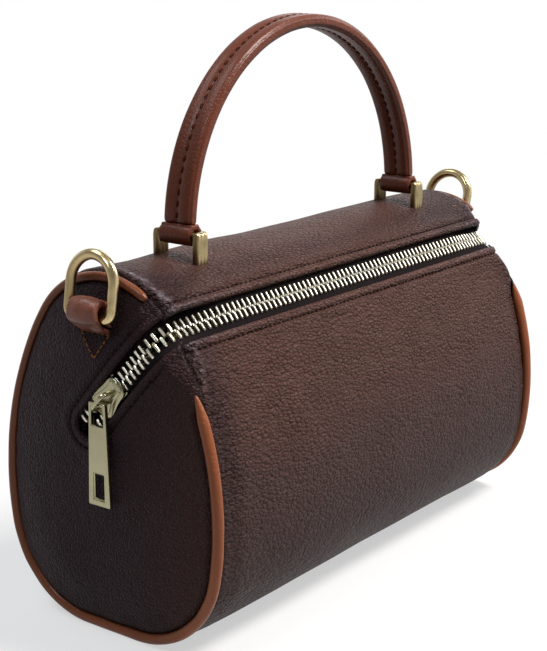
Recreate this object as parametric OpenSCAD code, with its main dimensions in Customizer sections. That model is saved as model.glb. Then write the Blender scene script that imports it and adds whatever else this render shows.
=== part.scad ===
// Barrel bag with an arched top handle, a zip that wraps onto both ends,
// and a strap ring on each end.
// Millimetres. X runs along the bag, and the zip closes towards -X.
// -Y is the front, +Z is up, and the origin is the middle of the base.

/* [Body] */
// Length of the body from seam to seam
body_l = 220; // [190:1:250]
// Height of the body without its handle
body_h = 136; // [130:1:145]
// Radius of the rounded top
top_r = 38.5; // [37:0.5:41]
// Radius of the two rounded lower corners
base_corner_r = 39; // [37:0.5:41]
// Radius of the gently curved front and back
side_r = 120; // [112:1:140]
// Width of the flat strip that the bag stands on
base_flat = 24; // [20:1:30]
// How far each end swells out past its seam
end_bulge = 6; // [5:0.5:8]

/* [Leather and lining] */
// Thickness of the leather with its backing
leather_t = 2.2; // [1.8:0.1:2.6]
// Radius of the corded piping along the end seams
piping_r = 2.1; // [1.8:0.1:2.2]
// Normal angle where the piping stops below the zip
piping_front_angle = 157; // [155:1:165]
// Normal angle where the piping stops above the zip
piping_top_angle = 122; // [110:1:124]
// Thickness of the lining
lining_t = 0.8; // [0.6:0.1:1.2]
// Depth of the lining's outer face below the leather's outer face
lining_depth = 6.8; // [6.6:0.1:8]
// Distance of the base board from each end seam
board_inset = 10; // [8:1:20]
// Width of the base board
board_w = 30; // [20:1:32]
// Thickness of the base board
board_t = 2.4; // [1.5:0.1:3]

/* [Zip] */
// Normal angle of the body where the zip runs
zip_angle = 143.5; // [141:0.5:144.5]
// Width of the opening for the zip along the body
slot_w = 14.8; // [14.4:0.1:16]
// Width of the opening for the zip in the ends
end_slot_w = 13.6; // [13.4:0.1:14.4]
// Distance from one tooth to the next along one tape
tooth_pitch = 2.85; // [2.7:0.05:3.2]
// Size of a tooth along the tape
tooth_l = 1.1; // [0.9:0.05:1.2]
// Height of a tooth through the tape
tooth_h = 3; // [2.6:0.1:3.2]
// How far a tooth reaches past the middle of the closed zip
tooth_reach = 0.7; // [0.6:0.1:0.8]
// Half width of the closed teeth
chain_half_w = 3.7; // [3.5:0.1:3.8]
// Thickness of the zip tape
tape_t = 0.8; // [0.6:0.1:1]
// Half width of the zip tapes together
tape_half_w = 9; // [8.8:0.1:9.4]
// Length of the straight zip run on each end, from the corner
end_run = 54; // [52:1:57]
// Downward slope of the zip on the ends
end_slope = 49.5; // [46:0.5:52]
// Radius of the bend where the zip turns onto an end
bend_r = 9; // [8:0.5:11]
// How far the two rows stand apart ahead of the slider
row_gap = 1.6; // [1.5:0.1:1.7]
// How far the tapes run on past the teeth, under the leather
tape_over = 5.4; // [5:0.1:7]

/* [Slider and pull] */
// Place of the slider along the zip's end run
slider_at = 32; // [30:0.5:36]
// Length of the slider
slider_l = 14.5; // [13:0.5:15]
// Thickness of each slider plate
plate_t = 1.2; // [1:0.1:1.4]
// Thickness of the strip that the bail is bent from
bail_t = 1.1; // [0.9:0.1:1.3]
// Width of the strip that the bail is bent from
bail_w = 1.5; // [1.4:0.1:1.6]
// Clear height under the bail
bail_clear_h = 4.2; // [4.1:0.1:4.6]
// Distance of the pull's hinge line from the slider's middle, towards its shoulders
hinge_back = 3.2; // [2:0.1:3.4]
// Length of the pull below its hinge line
pull_l = 37.6; // [30:0.1:44]
// Width of the pull at its top
pull_top_w = 7.6; // [7.4:0.1:8]
// Width of the pull at its bottom
pull_bottom_w = 9.2; // [8:0.1:11]
// Thickness of the pull
pull_t = 2; // [1.6:0.1:2.1]

/* [Handle] */
// Radius of the handle's arch, at the middle of the strap
handle_r = 73; // [64:0.5:78]
// Width of the handle strap
handle_w = 13; // [12.5:0.5:14]
// Thickness of the handle strap
handle_t = 5; // [4.8:0.1:5.6]
// Thickness of the leather round the handle's core
handle_skin = 1.2; // [1:0.1:1.3]
// Distance of the handle in front of the middle of the top
handle_forward = 3; // [0:0.5:5]

/* [Handle rings] */
// Outer width of a handle ring
ring_w = 22; // [21.5:0.5:24]
// Height of a handle ring above the leather
ring_h = 9; // [9:0.5:11]
// Size of a handle ring along the bag
ring_d = 6.2; // [5.6:0.1:7]
// Thickness of the upright posts
post_t = 3.2; // [3:0.1:3.4]
// Radius of the top bar that carries the handle
ring_bar_r = 1.6; // [1.4:0.1:1.7]
// Height of the lower bar over the crown of the leather
lower_bar_h = 1.6; // [1.2:0.1:1.8]

/* [Strap rings] */
// Outer width of a D-ring
d_ring_w = 24; // [24:0.5:28]
// Height of a D-ring above its bar, measured to the middle of the wire
d_ring_h = 21.6; // [20:0.1:24]
// Thickness of the wire
d_wire = 3.8; // [3.4:0.1:4]
// Depth of the ring's bar below the top of the body
d_bar_drop = 15; // [13:0.5:17]
// Lean of the left ring towards the bag, degrees
left_ring_lean = 9; // [0:1:10]
// Lean of the right ring away from the bag, degrees
right_ring_lean = 15; // [0:1:20]
// Width of the leather tab
tab_w = 15.6; // [14:0.1:15.8]
// Thickness of the leather of the tab
tab_t = 1.5; // [1.2:0.1:1.6]

/* [Hidden] */

// Clearance between pieces that lie against each other
seat = 0.1;
// Clearance between soft pieces that pass close by
soft_gap = 0.3;
// Overrun of every cut
cut = 5;
// Angle from one corner of a rounded outline to the next
arc_step = 5;
round_fn = 48;
wire_fn = 32;
bead_fn = 12;

// Outline of the body across its length, built from tangent arcs.
// Points are [y, z], and each one is found from the angle of its outward normal.
top_centre = [0, body_h - top_r];
corner_centre = [base_flat / 2, base_corner_r];
centre_gap = norm(corner_centre - top_centre);
centre_dir = (corner_centre - top_centre) / centre_gap;
side_along = (pow(side_r - top_r, 2) - pow(side_r - base_corner_r, 2) + pow(centre_gap, 2))
    / (2 * centre_gap);
side_across = sqrt(pow(side_r - top_r, 2) - pow(side_along, 2));
side_centre = top_centre + side_along * centre_dir
    + side_across * [centre_dir[1], -centre_dir[0]];
corner_turn = atan2(corner_centre[1] - side_centre[1], corner_centre[0] - side_centre[0]);
side_turn = atan2(top_centre[1] - side_centre[1], top_centre[0] - side_centre[0]);

function flip(p) = [-p[0], p[1]];
function wrapped(a) = a > 270 ? a - 360 : a;
function arc_of(a) =
    a <= corner_turn ? [corner_centre, base_corner_r]
    : a <= side_turn ? [side_centre, side_r]
    : a <= 180 - side_turn ? [top_centre, top_r]
    : a <= 180 - corner_turn ? [flip(side_centre), side_r]
    : [flip(corner_centre), base_corner_r];
function outline_point(a, inset) =
    let (w = wrapped(a), arc = arc_of(w))
    arc[0] + (arc[1] - inset) * [cos(w), sin(w)];

// Normal angles from one to another along the outline, and the points that belong to them
function inner_steps(from, to) =
    [for (a = [ceil((from + 1) / arc_step) * arc_step : arc_step : to - 1]) a];
function angle_run(from, to) =
    to <= 270 || from >= 270
    ? concat([from], inner_steps(from, to), [to])
    : concat(angle_run(from, 270), angle_run(270 + 1 / arc_step, to));
function outline_run(from, to, inset) = [for (a = angle_run(from, to)) outline_point(a, inset)];
function outline_ring(inset) = outline_run(-90, 270, inset);

// Angles at which the zip's opening ends, found by walking along the outline
junction_angle = 180 - side_turn;
function angle_above(w) = zip_angle - w / top_r * 180 / PI;
function angle_below(w) = junction_angle
    + (w - (junction_angle - zip_angle) * PI / 180 * top_r) / side_r * 180 / PI;

// Swell of the end panels, as shares of the top radius and of the bulge
dome_inset_shares = [0.19, 0.38, 0.62, 0.86];
dome_bulge_shares = [0.36, 0.64, 0.87, 1];
rim_inset = 2 * piping_r + seat;
// Share of the leather that is left along the zip on the ends
thinned_share = 0.4;
wrap_end = body_l / 2 - piping_r;
board_l = body_l - 2 * board_inset;
d_bar_z = body_h - d_bar_drop;

// Route of the zip on the right half; the left half is its mirror image.
tape_drop = leather_t + seat + tape_t / 2 + top_r - sqrt(pow(top_r, 2) - pow(tape_half_w, 2));
bend_normal = 180 - end_slope;
zip_twist = zip_angle - bend_normal;
bend_sink = tape_half_w * sin(zip_twist) + leather_t / 4;
corner_x = body_l / 2 + piping_r / 2;
end_x = body_l / 2 + end_bulge - leather_t - tape_t / 2 - 1.2 * soft_gap;
end_lean = asin((end_x - corner_x) / end_run);
bend_turn = 90 - end_lean;
bend_tangent = bend_r * tan(bend_turn / 2);
bend_len = bend_r * bend_turn * PI / 180;
body_run = corner_x - bend_tangent;
twist_run = 2.5 * bend_r;
route_len = body_run + bend_len + end_run - bend_tangent;
slider_run = body_run + bend_len + slider_at - bend_tangent;
// The rows part from behind the slider's middle to its shoulders
part_from = slider_run - slider_l / 8;
part_to = slider_run + slider_l / 3;

along = [1, 0, 0];
function outward(a) = [0, cos(a), sin(a)];
function share_of(x, from, to) = max(0, min(1, (x - from) / (to - from)));
function body_stop(k) = let (p = outline_point(zip_angle, tape_drop + bend_sink * k))
    [0, p[0], p[1]];
bend_start = body_run * along + body_stop(1);
function bend_point(turn) = bend_start
    + bend_r * (sin(turn) * along - (1 - cos(turn)) * outward(bend_normal));
end_dir = cos(bend_turn) * along - sin(bend_turn) * outward(bend_normal);
end_out = sin(bend_turn) * along + cos(bend_turn) * outward(bend_normal);

// Each place on the route is [position, direction, outward]
function right_place(u) =
    u <= body_run
    ? let (k = share_of(u, body_run - twist_run, body_run))
        [u * along + body_stop(k), along, outward(zip_angle - zip_twist * k)]
    : u <= body_run + bend_len
    ? let (turn = (u - body_run) / bend_r * 180 / PI)
        [bend_point(turn),
         cos(turn) * along - sin(turn) * outward(bend_normal),
         cos(turn) * outward(bend_normal) + sin(turn) * along]
    : [bend_point(bend_turn) + (u - body_run - bend_len) * end_dir, end_dir, end_out];
function mirrored(v) = [-v[0], v[1], v[2]];
function zip_place(s) =
    s >= 0 ? right_place(s)
    : let (f = right_place(-s)) [mirrored(f[0]), -mirrored(f[1]), mirrored(f[2])];
function width_dir(f) = cross(f[2], f[1]);
// Extra distance of each row from the middle, ahead of the slider
function parting(s) = row_gap * share_of(-s, part_from, part_to);

module at_place(f) {
    t = f[1];
    w = width_dir(f);
    n = f[2];
    p = f[0];
    multmatrix([[t[0], w[0], n[0], p[0]],
                [t[1], w[1], n[1], p[1]],
                [t[2], w[2], n[2], p[2]],
                [0, 0, 0, 1]])
        children();
}

// Closed solid through rings of points that all have the same count.
// Seen from ahead, with the rings coming nearer, the points of each ring run clockwise.
module loft(rings) {
    n = len(rings[0]);
    last = len(rings) - 1;
    points = [for (ring = rings) for (p = ring) p];
    sides = [for (i = [0 : last - 1]) for (j = [0 : n - 1])
        let (a = i * n + j, b = i * n + (j + 1) % n)
        each [[a, b, b + n], [a, b + n, a + n]]];
    start_cap = [[for (j = [n - 1 : -1 : 0]) j]];
    end_cap = [[for (j = [0 : n - 1]) last * n + j]];
    polyhedron(points = points, faces = concat(start_cap, sides, end_cap), convexity = 6);
}

// Extrudes a [y, z] shape along X, from x to x + l
module along_x(x, l) {
    translate([x, 0, 0])
        rotate([90, 0, 90])
            linear_extrude(l)
                children();
}

// Part of the body's outline as a wall between two depths
module outline_wall(from, to, depth, t) {
    polygon(concat(outline_run(from, to, depth),
                   [for (p = reverse(outline_run(from, to, depth + t))) p]));
}
function reverse(list) = [for (i = [len(list) - 1 : -1 : 0]) list[i]];

// Opening for the zip in an end, as seen along X
module end_slot() {
    start = body_stop(1);
    half = end_slot_w / 2;
    round_end = end_run - half / 2;
    translate([start[1], start[2]])
        rotate(-end_slope) {
            translate([-slot_w, -half])
                square([slot_w + round_end, 2 * half]);
            translate([round_end, 0])
                circle(half, $fn = round_fn);
        }
}
// Space of the tapes behind an end, as seen along X, with a gap all round
module tape_space(gap) {
    start = body_stop(1);
    half = tape_half_w + gap;
    translate([start[1], start[2]])
        rotate(-end_slope)
            translate([-slot_w, -half])
                square([slot_w + end_run + tape_over + gap, 2 * half]);
}

// Rectangle with round corners, centred, made of true arcs
module rounded_rect(w, h, r) {
    square([w - 2 * r, h], center = true);
    square([w, h - 2 * r], center = true);
    for (x = [-1, 1])
        for (y = [-1, 1])
            translate([x * (w / 2 - r), y * (h / 2 - r)])
                circle(r, $fn = wire_fn);
}

// Body leather: one wrap from the front edge of the zip, under the base and over the top
module body_wrap() {
    color([0.30, 0.20, 0.17])
        difference() {
            along_x(-wrap_end, 2 * wrap_end)
                outline_wall(angle_below(slot_w / 2), angle_above(slot_w / 2) + 360,
                             0, leather_t);
            for (side = [-1, 1])
                for (end = [-1, 1])
                    translate([side * handle_r, -handle_forward + end * screw_y, body_h - top_r])
                        cylinder(h = top_r + cut, r = screw_r + seat, $fn = wire_fn);
        }
}

// Outer skin of an end, as rings of points that rise from the seam to the middle
function dome_ring(inset, x) = [for (p = reverse(outline_ring(inset))) [x, p[0], p[1]]];
function dome_rings(depth) = concat(
    [dome_ring(rim_inset + depth, wrap_end - leather_t - depth),
     dome_ring(rim_inset + depth, body_l / 2 + piping_r / 2 - depth)],
    [for (i = [0 : len(dome_inset_shares) - 1])
        dome_ring(dome_inset_shares[i] * top_r + depth / 4,
                  body_l / 2 + dome_bulge_shares[i] * end_bulge - depth)]);

module end_panel(side) {
    color([0.17, 0.11, 0.12])
        difference() {
            scale([side, 1, 1])
                difference() {
                    loft(dome_rings(0));
                    translate([-seat, 0, 0])
                        loft(dome_rings(leather_t));
                }
            along_x(side > 0 ? 0 : -body_l, body_l)
                end_slot();
            // The hidden hem is notched, and the leather thinned, where the tapes' edges pass
            along_x(side > 0 ? 0 : -body_l / 2, body_l / 2)
                tape_space(soft_gap);
            intersection() {
                scale([side, 1, 1])
                    loft(dome_rings(leather_t * thinned_share));
                along_x(side > 0 ? 0 : -body_l, body_l)
                    tape_space(soft_gap);
            }
            // Slit that takes the tail of the strap ring's tab
            translate([side * body_l / 2, 0, tab_slit_z])
                cube([2 * end_bulge + cut, tab_w + 2 * soft_gap, 2 * tab_t + 2 * soft_gap],
                     center = true);
        }
}
module left_end_panel() {
    end_panel(-1);
}
module right_end_panel() {
    end_panel(1);
}

// Corded piping that follows the end seam and stops short of the zip on both sides
module piping(side) {
    color([0.55, 0.27, 0.16])
        translate([side * body_l / 2, 0, 0])
            loft([for (a = angle_run(piping_front_angle, piping_top_angle + 360))
                [for (t = [0 : 360 / bead_fn : 359])
                    let (p = outline_point(a, piping_r * (1 - cos(t))))
                    [piping_r * sin(t), p[0], p[1]]]]);
}
module left_piping() {
    piping(-1);
}
module right_piping() {
    piping(1);
}

hem_depth = leather_t + soft_gap;
// Lining: an open-topped sleeve with two ends, and a wall round the mouth that meets the tape
lining_end = wrap_end - leather_t - soft_gap;
mouth_gap = 2 * soft_gap;
hem_half_w = tape_half_w + 3 * tape_t;
module lining_mouth(side) {
    intersection() {
        along_x(side > 0 ? lining_end - lining_t : -body_l, body_l - lining_end + lining_t)
            difference() {
                tape_space(mouth_gap + lining_t);
                tape_space(mouth_gap);
            }
        at_place(zip_place(side * (body_run + bend_len)))
            translate([-body_l / 2, -body_l / 2, -body_l / 2 - tape_t - soft_gap])
                cube([body_l, body_l, body_l / 2]);
        along_x(side > 0 ? 0 : -body_l, body_l)
            polygon(outline_ring(lining_depth + 2 * leather_t));
    }
}
module lining() {
    color([0.32, 0.27, 0.22]) {
        from = angle_below(hem_half_w);
        to = angle_above(hem_half_w) + 360;
        along_x(-lining_end, 2 * lining_end)
            outline_wall(from, to, lining_depth, lining_t);
        for (side = [-1, 1])
            along_x(side > 0 ? lining_end - lining_t : -lining_end, lining_t)
                difference() {
                    polygon(outline_ring(lining_depth));
                    tape_space(mouth_gap);
                }
        for (side = [-1, 1])
            lining_mouth(side);
        // Hems that carry the long edges of the lining up to the leather beside the tapes
        along_x(-body_run, 2 * body_run) {
            outline_wall(from, from + lining_t / side_r * 180 / PI, hem_depth,
                         lining_depth + lining_t - hem_depth);
            outline_wall(to - lining_t / top_r * 180 / PI, to, hem_depth,
                         lining_depth + lining_t - hem_depth);
        }
    }
}

module base_board() {
    color([0.72, 0.66, 0.55])
        translate([-board_l / 2, -board_w / 2, leather_t + soft_gap])
            cube([board_l, board_w, board_t]);
}

// Zip tapes, swept along the route; inner is the edge at the teeth, outer the sewn edge
tape_runs = concat(
    [for (i = [6 : -1 : 1]) body_run - twist_run * i / 6],
    [for (i = [0 : 6]) body_run + bend_len * i / 6],
    [part_from, part_to, route_len + tape_over]);
// Distance of a tape's inner edge from the middle, inside the jaws of the teeth
grip_w = chain_half_w - tooth_h / 2 + seat;
route_stations = concat([for (u = reverse(tape_runs)) -u], [0], tape_runs);
module zip_tape(side) {
    color([0.10, 0.07, 0.07])
        loft([for (s = route_stations)
            let (f = zip_place(s),
                 w = side * width_dir(f),
                 inner = grip_w + parting(s),
                 outer = tape_half_w,
                 up = f[2] * tape_t / 2)
            side > 0
            ? [f[0] + inner * w + up, f[0] + outer * w + up,
               f[0] + outer * w - up, f[0] + inner * w - up]
            : [f[0] + inner * w - up, f[0] + outer * w - up,
               f[0] + outer * w + up, f[0] + inner * w + up]]);
}
module front_zip_tape() {
    zip_tape(-1);
}
module back_zip_tape() {
    zip_tape(1);
}

// Section of a tooth or stop: a nose towards the middle, and two jaws that grip the tape
module grip_section(nose) {
    slot = tape_t / 2 + seat;
    polygon([[-nose, -tooth_h / 4], [-nose, tooth_h / 4], [0, tooth_h / 2],
             [chain_half_w, tooth_h / 2], [chain_half_w, slot],
             [grip_w - soft_gap, slot], [grip_w - soft_gap, -slot],
             [chain_half_w, -slot], [chain_half_w, -tooth_h / 2], [0, -tooth_h / 2]]);
}
module grip(nose, l) {
    rotate([90, 0, 90])
        linear_extrude(l, center = true)
            grip_section(nose);
}
teeth_each_way = floor((route_len - 1.5 * tooth_pitch) / tooth_pitch);
module zip_row(side) {
    color([0.80, 0.74, 0.58])
        for (i = [-teeth_each_way : teeth_each_way])
            let (s = (i + side / 4) * tooth_pitch)
            at_place(zip_place(s))
                scale([1, side, 1])
                    translate([0, parting(s), 0])
                        grip(tooth_reach, tooth_l);
}
module front_zip_teeth() {
    zip_row(-1);
}
module back_zip_teeth() {
    zip_row(1);
}

// Two stops that end the rows on the left, one on each tape
module zip_top_stops() {
    color([0.80, 0.74, 0.58])
        at_place(zip_place(tooth_l / 2 - route_len))
            for (side = [-1, 1])
                scale([1, side, 1])
                    translate([0, row_gap, 0])
                        grip(tooth_reach, tooth_l);
}
// One stop that joins the rows on the right
module zip_bottom_stop() {
    color([0.80, 0.74, 0.58])
        at_place(zip_place(route_len - tooth_l))
            for (side = [-1, 1])
                scale([1, side, 1])
                    grip(tooth_reach, 2 * tooth_l);
}

// Slider, in the zip's own frame: its shoulders point along -X, towards the open teeth
channel_gap = 0.25;
channel_play = 0.35;
channel_h = tooth_h / 2 + channel_play;
plate_top = channel_h + plate_t;
flange_t = 0.7;
tail_half = chain_half_w + channel_gap;
shoulder_half = chain_half_w + row_gap + channel_gap;
post_r = 0.6;
module slider_outline(grow) {
    tail = slider_l / 2;
    polygon([[tail, tail_half + grow], [tail / 4, tail_half + grow],
             [-tail / 2, shoulder_half + grow], [-0.8 * tail, shoulder_half + grow - flange_t / 4],
             [-tail, shoulder_half / 2], [-tail, -shoulder_half / 2],
             [-0.8 * tail, -shoulder_half - grow + flange_t / 4],
             [-tail / 2, -shoulder_half - grow], [tail / 4, -tail_half - grow],
             [tail, -tail_half - grow]]);
}
module slider_flanges() {
    intersection() {
        difference() {
            slider_outline(flange_t);
            slider_outline(0);
        }
        translate([-slider_l / 3, -slot_w / 2])
            square([slider_l, slot_w]);
    }
}
module at_slider() {
    at_place(zip_place(-slider_run))
        children();
}
module slider_body() {
    color([0.83, 0.71, 0.46])
        at_slider() {
            for (side = [-1, 1])
                scale([1, 1, side]) {
                    translate([0, 0, channel_h])
                        linear_extrude(plate_t)
                            slider_outline(flange_t);
                    translate([0, 0, tape_t / 2 + soft_gap])
                        linear_extrude(channel_h - tape_t / 2 - soft_gap)
                            slider_flanges();
                }
            translate([-slider_l / 2 + 2 * post_r, 0, -channel_h - plate_t / 2])
                cylinder(h = 2 * channel_h + plate_t, r = post_r, $fn = wire_fn);
        }
}

// Bail: a strip bent over the slider, under which the bar of the pull turns
bail_nose = 2.2;
bail_tail = 5;
bail_len = bail_nose + bail_tail + 2 * bail_t;
bail_corner = 1.6;
pull_stand = 2.8;
module slider_bail() {
    color([0.83, 0.71, 0.46])
        at_slider()
            translate([(bail_tail - bail_nose) / 2 - hinge_back, 0, plate_top])
                rotate([90, 0, 0])
                    linear_extrude(bail_w, center = true)
                        intersection() {
                            difference() {
                                rounded_rect(bail_len, 2 * (bail_clear_h + bail_t),
                                             bail_corner + bail_t);
                                rounded_rect(bail_len - 2 * bail_t, 2 * bail_clear_h,
                                             bail_corner);
                            }
                            translate([-bail_len / 2, 0])
                                square([bail_len, bail_clear_h + bail_t]);
                        }
}

// Pull: hangs straight down from the bail; its upper window lets the bail's foot through
pull_bar = 1.4;
upper_window_w = 5.8;
upper_window_h = 7.2;
lower_window_w = 5.4;
lower_window_h = 10;
lower_border = 2.2;
slider_frame = zip_place(-slider_run);
pull_hinge = slider_frame[0] - hinge_back * slider_frame[1]
    + (plate_top + pull_stand) * slider_frame[2];
module zip_pull() {
    color([0.83, 0.71, 0.46])
        translate(pull_hinge)
            rotate([90, 0, 90])
                linear_extrude(pull_t, center = true)
                    difference() {
                        polygon([[-pull_top_w / 2, pull_bar / 2], [pull_top_w / 2, pull_bar / 2],
                                 [pull_bottom_w / 2, -pull_l], [-pull_bottom_w / 2, -pull_l]]);
                        translate([-upper_window_w / 2, -pull_bar / 2 - upper_window_h])
                            square([upper_window_w, upper_window_h]);
                        translate([-lower_window_w / 2, -pull_l + lower_border])
                            square([lower_window_w, lower_window_h]);
                    }
}

// Handle rings: a frame with two posts, a lower bar scooped to the leather and a round top bar
ring_top = body_h + ring_h;
ring_corner = 2.4;
ring_bar_z = ring_top - ring_bar_r;
screw_r = 1;
screw_y = ring_w / 2 - post_t / 2;
screw_bite = 4.5;
function leather_z(y) = body_h - top_r + sqrt(pow(top_r, 2) - pow(y, 2));
module ring_at(side) {
    translate([side * handle_r, -handle_forward, 0])
        children();
}
module ring_screw_holes(r, bottom, top) {
    for (end = [-1, 1])
        translate([0, end * screw_y, bottom])
            cylinder(h = top - bottom, r = r, $fn = wire_fn);
}
module handle_ring(side) {
    ring_bottom = body_h - ring_h;
    color([0.66, 0.52, 0.28])
        difference() {
            ring_at(side) {
                intersection() {
                    union() {
                        for (end = [-1, 1])
                            translate([0, end * screw_y, ring_bottom])
                                linear_extrude(ring_top - ring_bottom)
                                    rounded_rect(ring_d, post_t, ring_d / 8);
                        translate([-ring_d / 2 + ring_d / 8, -ring_w / 2 + post_t / 2,
                                   ring_bottom])
                            cube([ring_d * 3 / 4, ring_w - post_t,
                                  ring_h + lower_bar_h]);
                    }
                    rotate([90, 0, 90])
                        linear_extrude(2 * ring_d, center = true)
                            translate([0, ring_bottom])
                                rounded_rect(ring_w, 2 * (ring_top - ring_bottom), ring_corner);
                }
                translate([0, -ring_w / 2 + post_t / 2, ring_bar_z])
                    rotate([-90, 0, 0])
                        cylinder(h = ring_w - post_t, r = ring_bar_r, $fn = wire_fn);
            }
            translate([side * handle_r - ring_d, 0, body_h - top_r])
                rotate([0, 90, 0])
                    cylinder(h = 2 * ring_d, r = top_r + seat / 2, $fn = 4 * round_fn);
            ring_at(side)
                ring_screw_holes(screw_r + seat / 2, ring_bottom,
                                 leather_z(screw_y + handle_forward) + screw_bite);
        }
}
module left_handle_ring() {
    handle_ring(-1);
}
module right_handle_ring() {
    handle_ring(1);
}

// Plate inside the bag that spreads the pull of a handle ring
plate_d = 14;
plate_depth = leather_t + seat;
plate_wall = 1.1;
module ring_plate(side) {
    color([0.70, 0.70, 0.70])
        difference() {
            intersection() {
                translate([side * handle_r - plate_d / 2, 0, body_h - top_r])
                    rotate([0, 90, 0])
                        difference() {
                            cylinder(h = plate_d, r = top_r - plate_depth, $fn = 4 * round_fn);
                            translate([0, 0, -cut])
                                cylinder(h = plate_d + 2 * cut,
                                         r = top_r - plate_depth - plate_wall,
                                         $fn = 4 * round_fn);
                        }
                ring_at(side)
                    translate([-plate_d, -ring_w / 2 - post_t / 2, body_h - top_r])
                        cube([2 * plate_d, ring_w + post_t, top_r]);
            }
            ring_at(side)
                ring_screw_holes(screw_r + seat, body_h - top_r, body_h);
        }
}
module left_ring_plate() {
    ring_plate(-1);
}
module right_ring_plate() {
    ring_plate(1);
}

// Screws that come up from inside, through plate and leather, into the posts
screw_head_r = 2;
screw_head_h = 1.1;
module ring_screws() {
    inner_r = top_r - plate_depth - plate_wall;
    color([0.70, 0.70, 0.70])
        for (side = [-1, 1])
            for (end = [-1, 1])
                let (y = end * screw_y - handle_forward,
                     reach = abs(y) + screw_head_r,
                     head_top = body_h - top_r + sqrt(pow(inner_r, 2) - pow(reach, 2)) - seat,
                     tip = leather_z(screw_y + handle_forward) + screw_bite - seat)
                translate([side * handle_r, y, 0]) {
                    translate([0, 0, head_top - screw_head_h])
                        cylinder(h = screw_head_h, r = screw_head_r, $fn = wire_fn);
                    translate([0, 0, head_top - screw_head_h])
                        cylinder(h = tip - head_top + screw_head_h, r = screw_r, $fn = wire_fn);
                }
}

// Handle: a leather tube over a core, and a leather loop at each end that rides the ring's bar
loop_play = 0.6;
loop_t = 1.7;
loop_side_gap = 0.5;
loop_neck_l = 10.8;
loop_bore_r = ring_bar_r + loop_play;
loop_r = loop_bore_r + loop_t;
loop_w = ring_w - 2 * post_t - 2 * loop_side_gap;
loop_neck_angle = asin(loop_neck_l / handle_r);
handle_corner = 1.8;
cover_from = asin((loop_r + seat) / handle_r);
core_from = asin((loop_neck_l + seat) / handle_r);
handle_centre_z = ring_bar_z;
module handle_arc(from, to) {
    translate([0, -handle_forward, handle_centre_z])
        rotate([90, 0, 0])
            rotate(from)
                rotate_extrude(angle = to - from, $fn = 4 * round_fn)
                    translate([handle_r, 0])
                        children();
}
module core_section(gap) {
    rounded_rect(handle_t - 2 * handle_skin - 2 * gap, handle_w - 2 * handle_skin - 2 * gap,
                 (handle_t - 2 * handle_skin) / 3);
}
module handle_cover() {
    color([0.42, 0.18, 0.11])
        handle_arc(cover_from, 180 - cover_from)
            difference() {
                rounded_rect(handle_t, handle_w, handle_corner);
                core_section(0);
            }
}
module handle_core() {
    color([0.75, 0.70, 0.60])
        handle_arc(core_from, 180 - core_from)
            core_section(seat);
}
module handle_loop(side) {
    // The neck is straight, and starts inside the wall of the loop, clear of its bore
    neck_from = asin((loop_bore_r + loop_r) / 2 / handle_r);
    neck_mid = (loop_neck_angle + neck_from) / 2;
    neck_half = (loop_neck_angle - neck_from) / 2;
    neck_t = handle_t - 2 * handle_skin - 4 * seat;
    neck_w = handle_w - 2 * handle_skin - 10 * seat;
    color([0.40, 0.19, 0.13])
        translate([0, -handle_forward, handle_centre_z])
            rotate([90, 0, 0]) {
                translate([side * handle_r, 0])
                    difference() {
                        cylinder(h = loop_w, r = loop_r, center = true, $fn = round_fn);
                        cylinder(h = loop_w + 2 * cut, r = loop_bore_r, center = true,
                                 $fn = round_fn);
                    }
                rotate(side > 0 ? neck_mid : 180 - neck_mid)
                    translate([handle_r * (1 + cos(neck_half)) / 2, 0])
                        cube([neck_t, 2 * handle_r * sin(neck_half), neck_w], center = true);
            }
}
module left_handle_loop() {
    handle_loop(-1);
}
module right_handle_loop() {
    handle_loop(1);
}

// Strap rings: each turns on its straight bar inside a leather tab sewn through the end panel
d_wire_r = d_wire / 2;
tab_bore_r = d_wire_r + soft_gap;
tab_r = tab_bore_r + tab_t;
function dome_x(inset) =
    body_l / 2 + end_bulge
    * lookup(inset / top_r, [for (i = [0 : len(dome_inset_shares) - 1])
        [dome_inset_shares[i], dome_bulge_shares[i]]]);
d_bar_x = dome_x(body_h - d_bar_z) + soft_gap + tab_r;
tab_slit_z = d_bar_z - 1.8 * tab_r;
tab_point_h = 7.4;
module d_ring_tab(side) {
    tail_t = 2 * tab_t;
    tail_bottom = tab_slit_z - tail_t / 2;
    outer_x = dome_x(body_h - tail_bottom) + soft_gap;
    inner_x = dome_x(body_h - tab_slit_z) - leather_t - 2 * soft_gap - tail_t;
    color([0.52, 0.25, 0.15])
        scale([side, 1, 1])
            intersection() {
                rotate([90, 0, 0])
                    linear_extrude(tab_w, center = true)
                        difference() {
                            union() {
                                translate([d_bar_x, d_bar_z])
                                    circle(tab_r, $fn = round_fn);
                                translate([outer_x, tail_bottom])
                                    square([tail_t, d_bar_z - tail_bottom - tab_bore_r]);
                                translate([inner_x, tail_bottom])
                                    square([outer_x - inner_x + tail_t, tail_t]);
                                translate([inner_x, tail_bottom - tab_point_h])
                                    square([tail_t, tab_point_h + tail_t]);
                            }
                            translate([d_bar_x, d_bar_z])
                                circle(tab_bore_r, $fn = round_fn);
                        }
                // Seen along the bag the tail ends in a point behind the panel
                along_x(0, body_l)
                    polygon([[-tab_w / 2, tail_bottom], [0, tail_bottom - tab_point_h],
                             [tab_w / 2, tail_bottom], [tab_w / 2, body_h], [-tab_w / 2, body_h]]);
            }
}
module left_d_ring_tab() {
    d_ring_tab(-1);
}
module right_d_ring_tab() {
    d_ring_tab(1);
}

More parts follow.
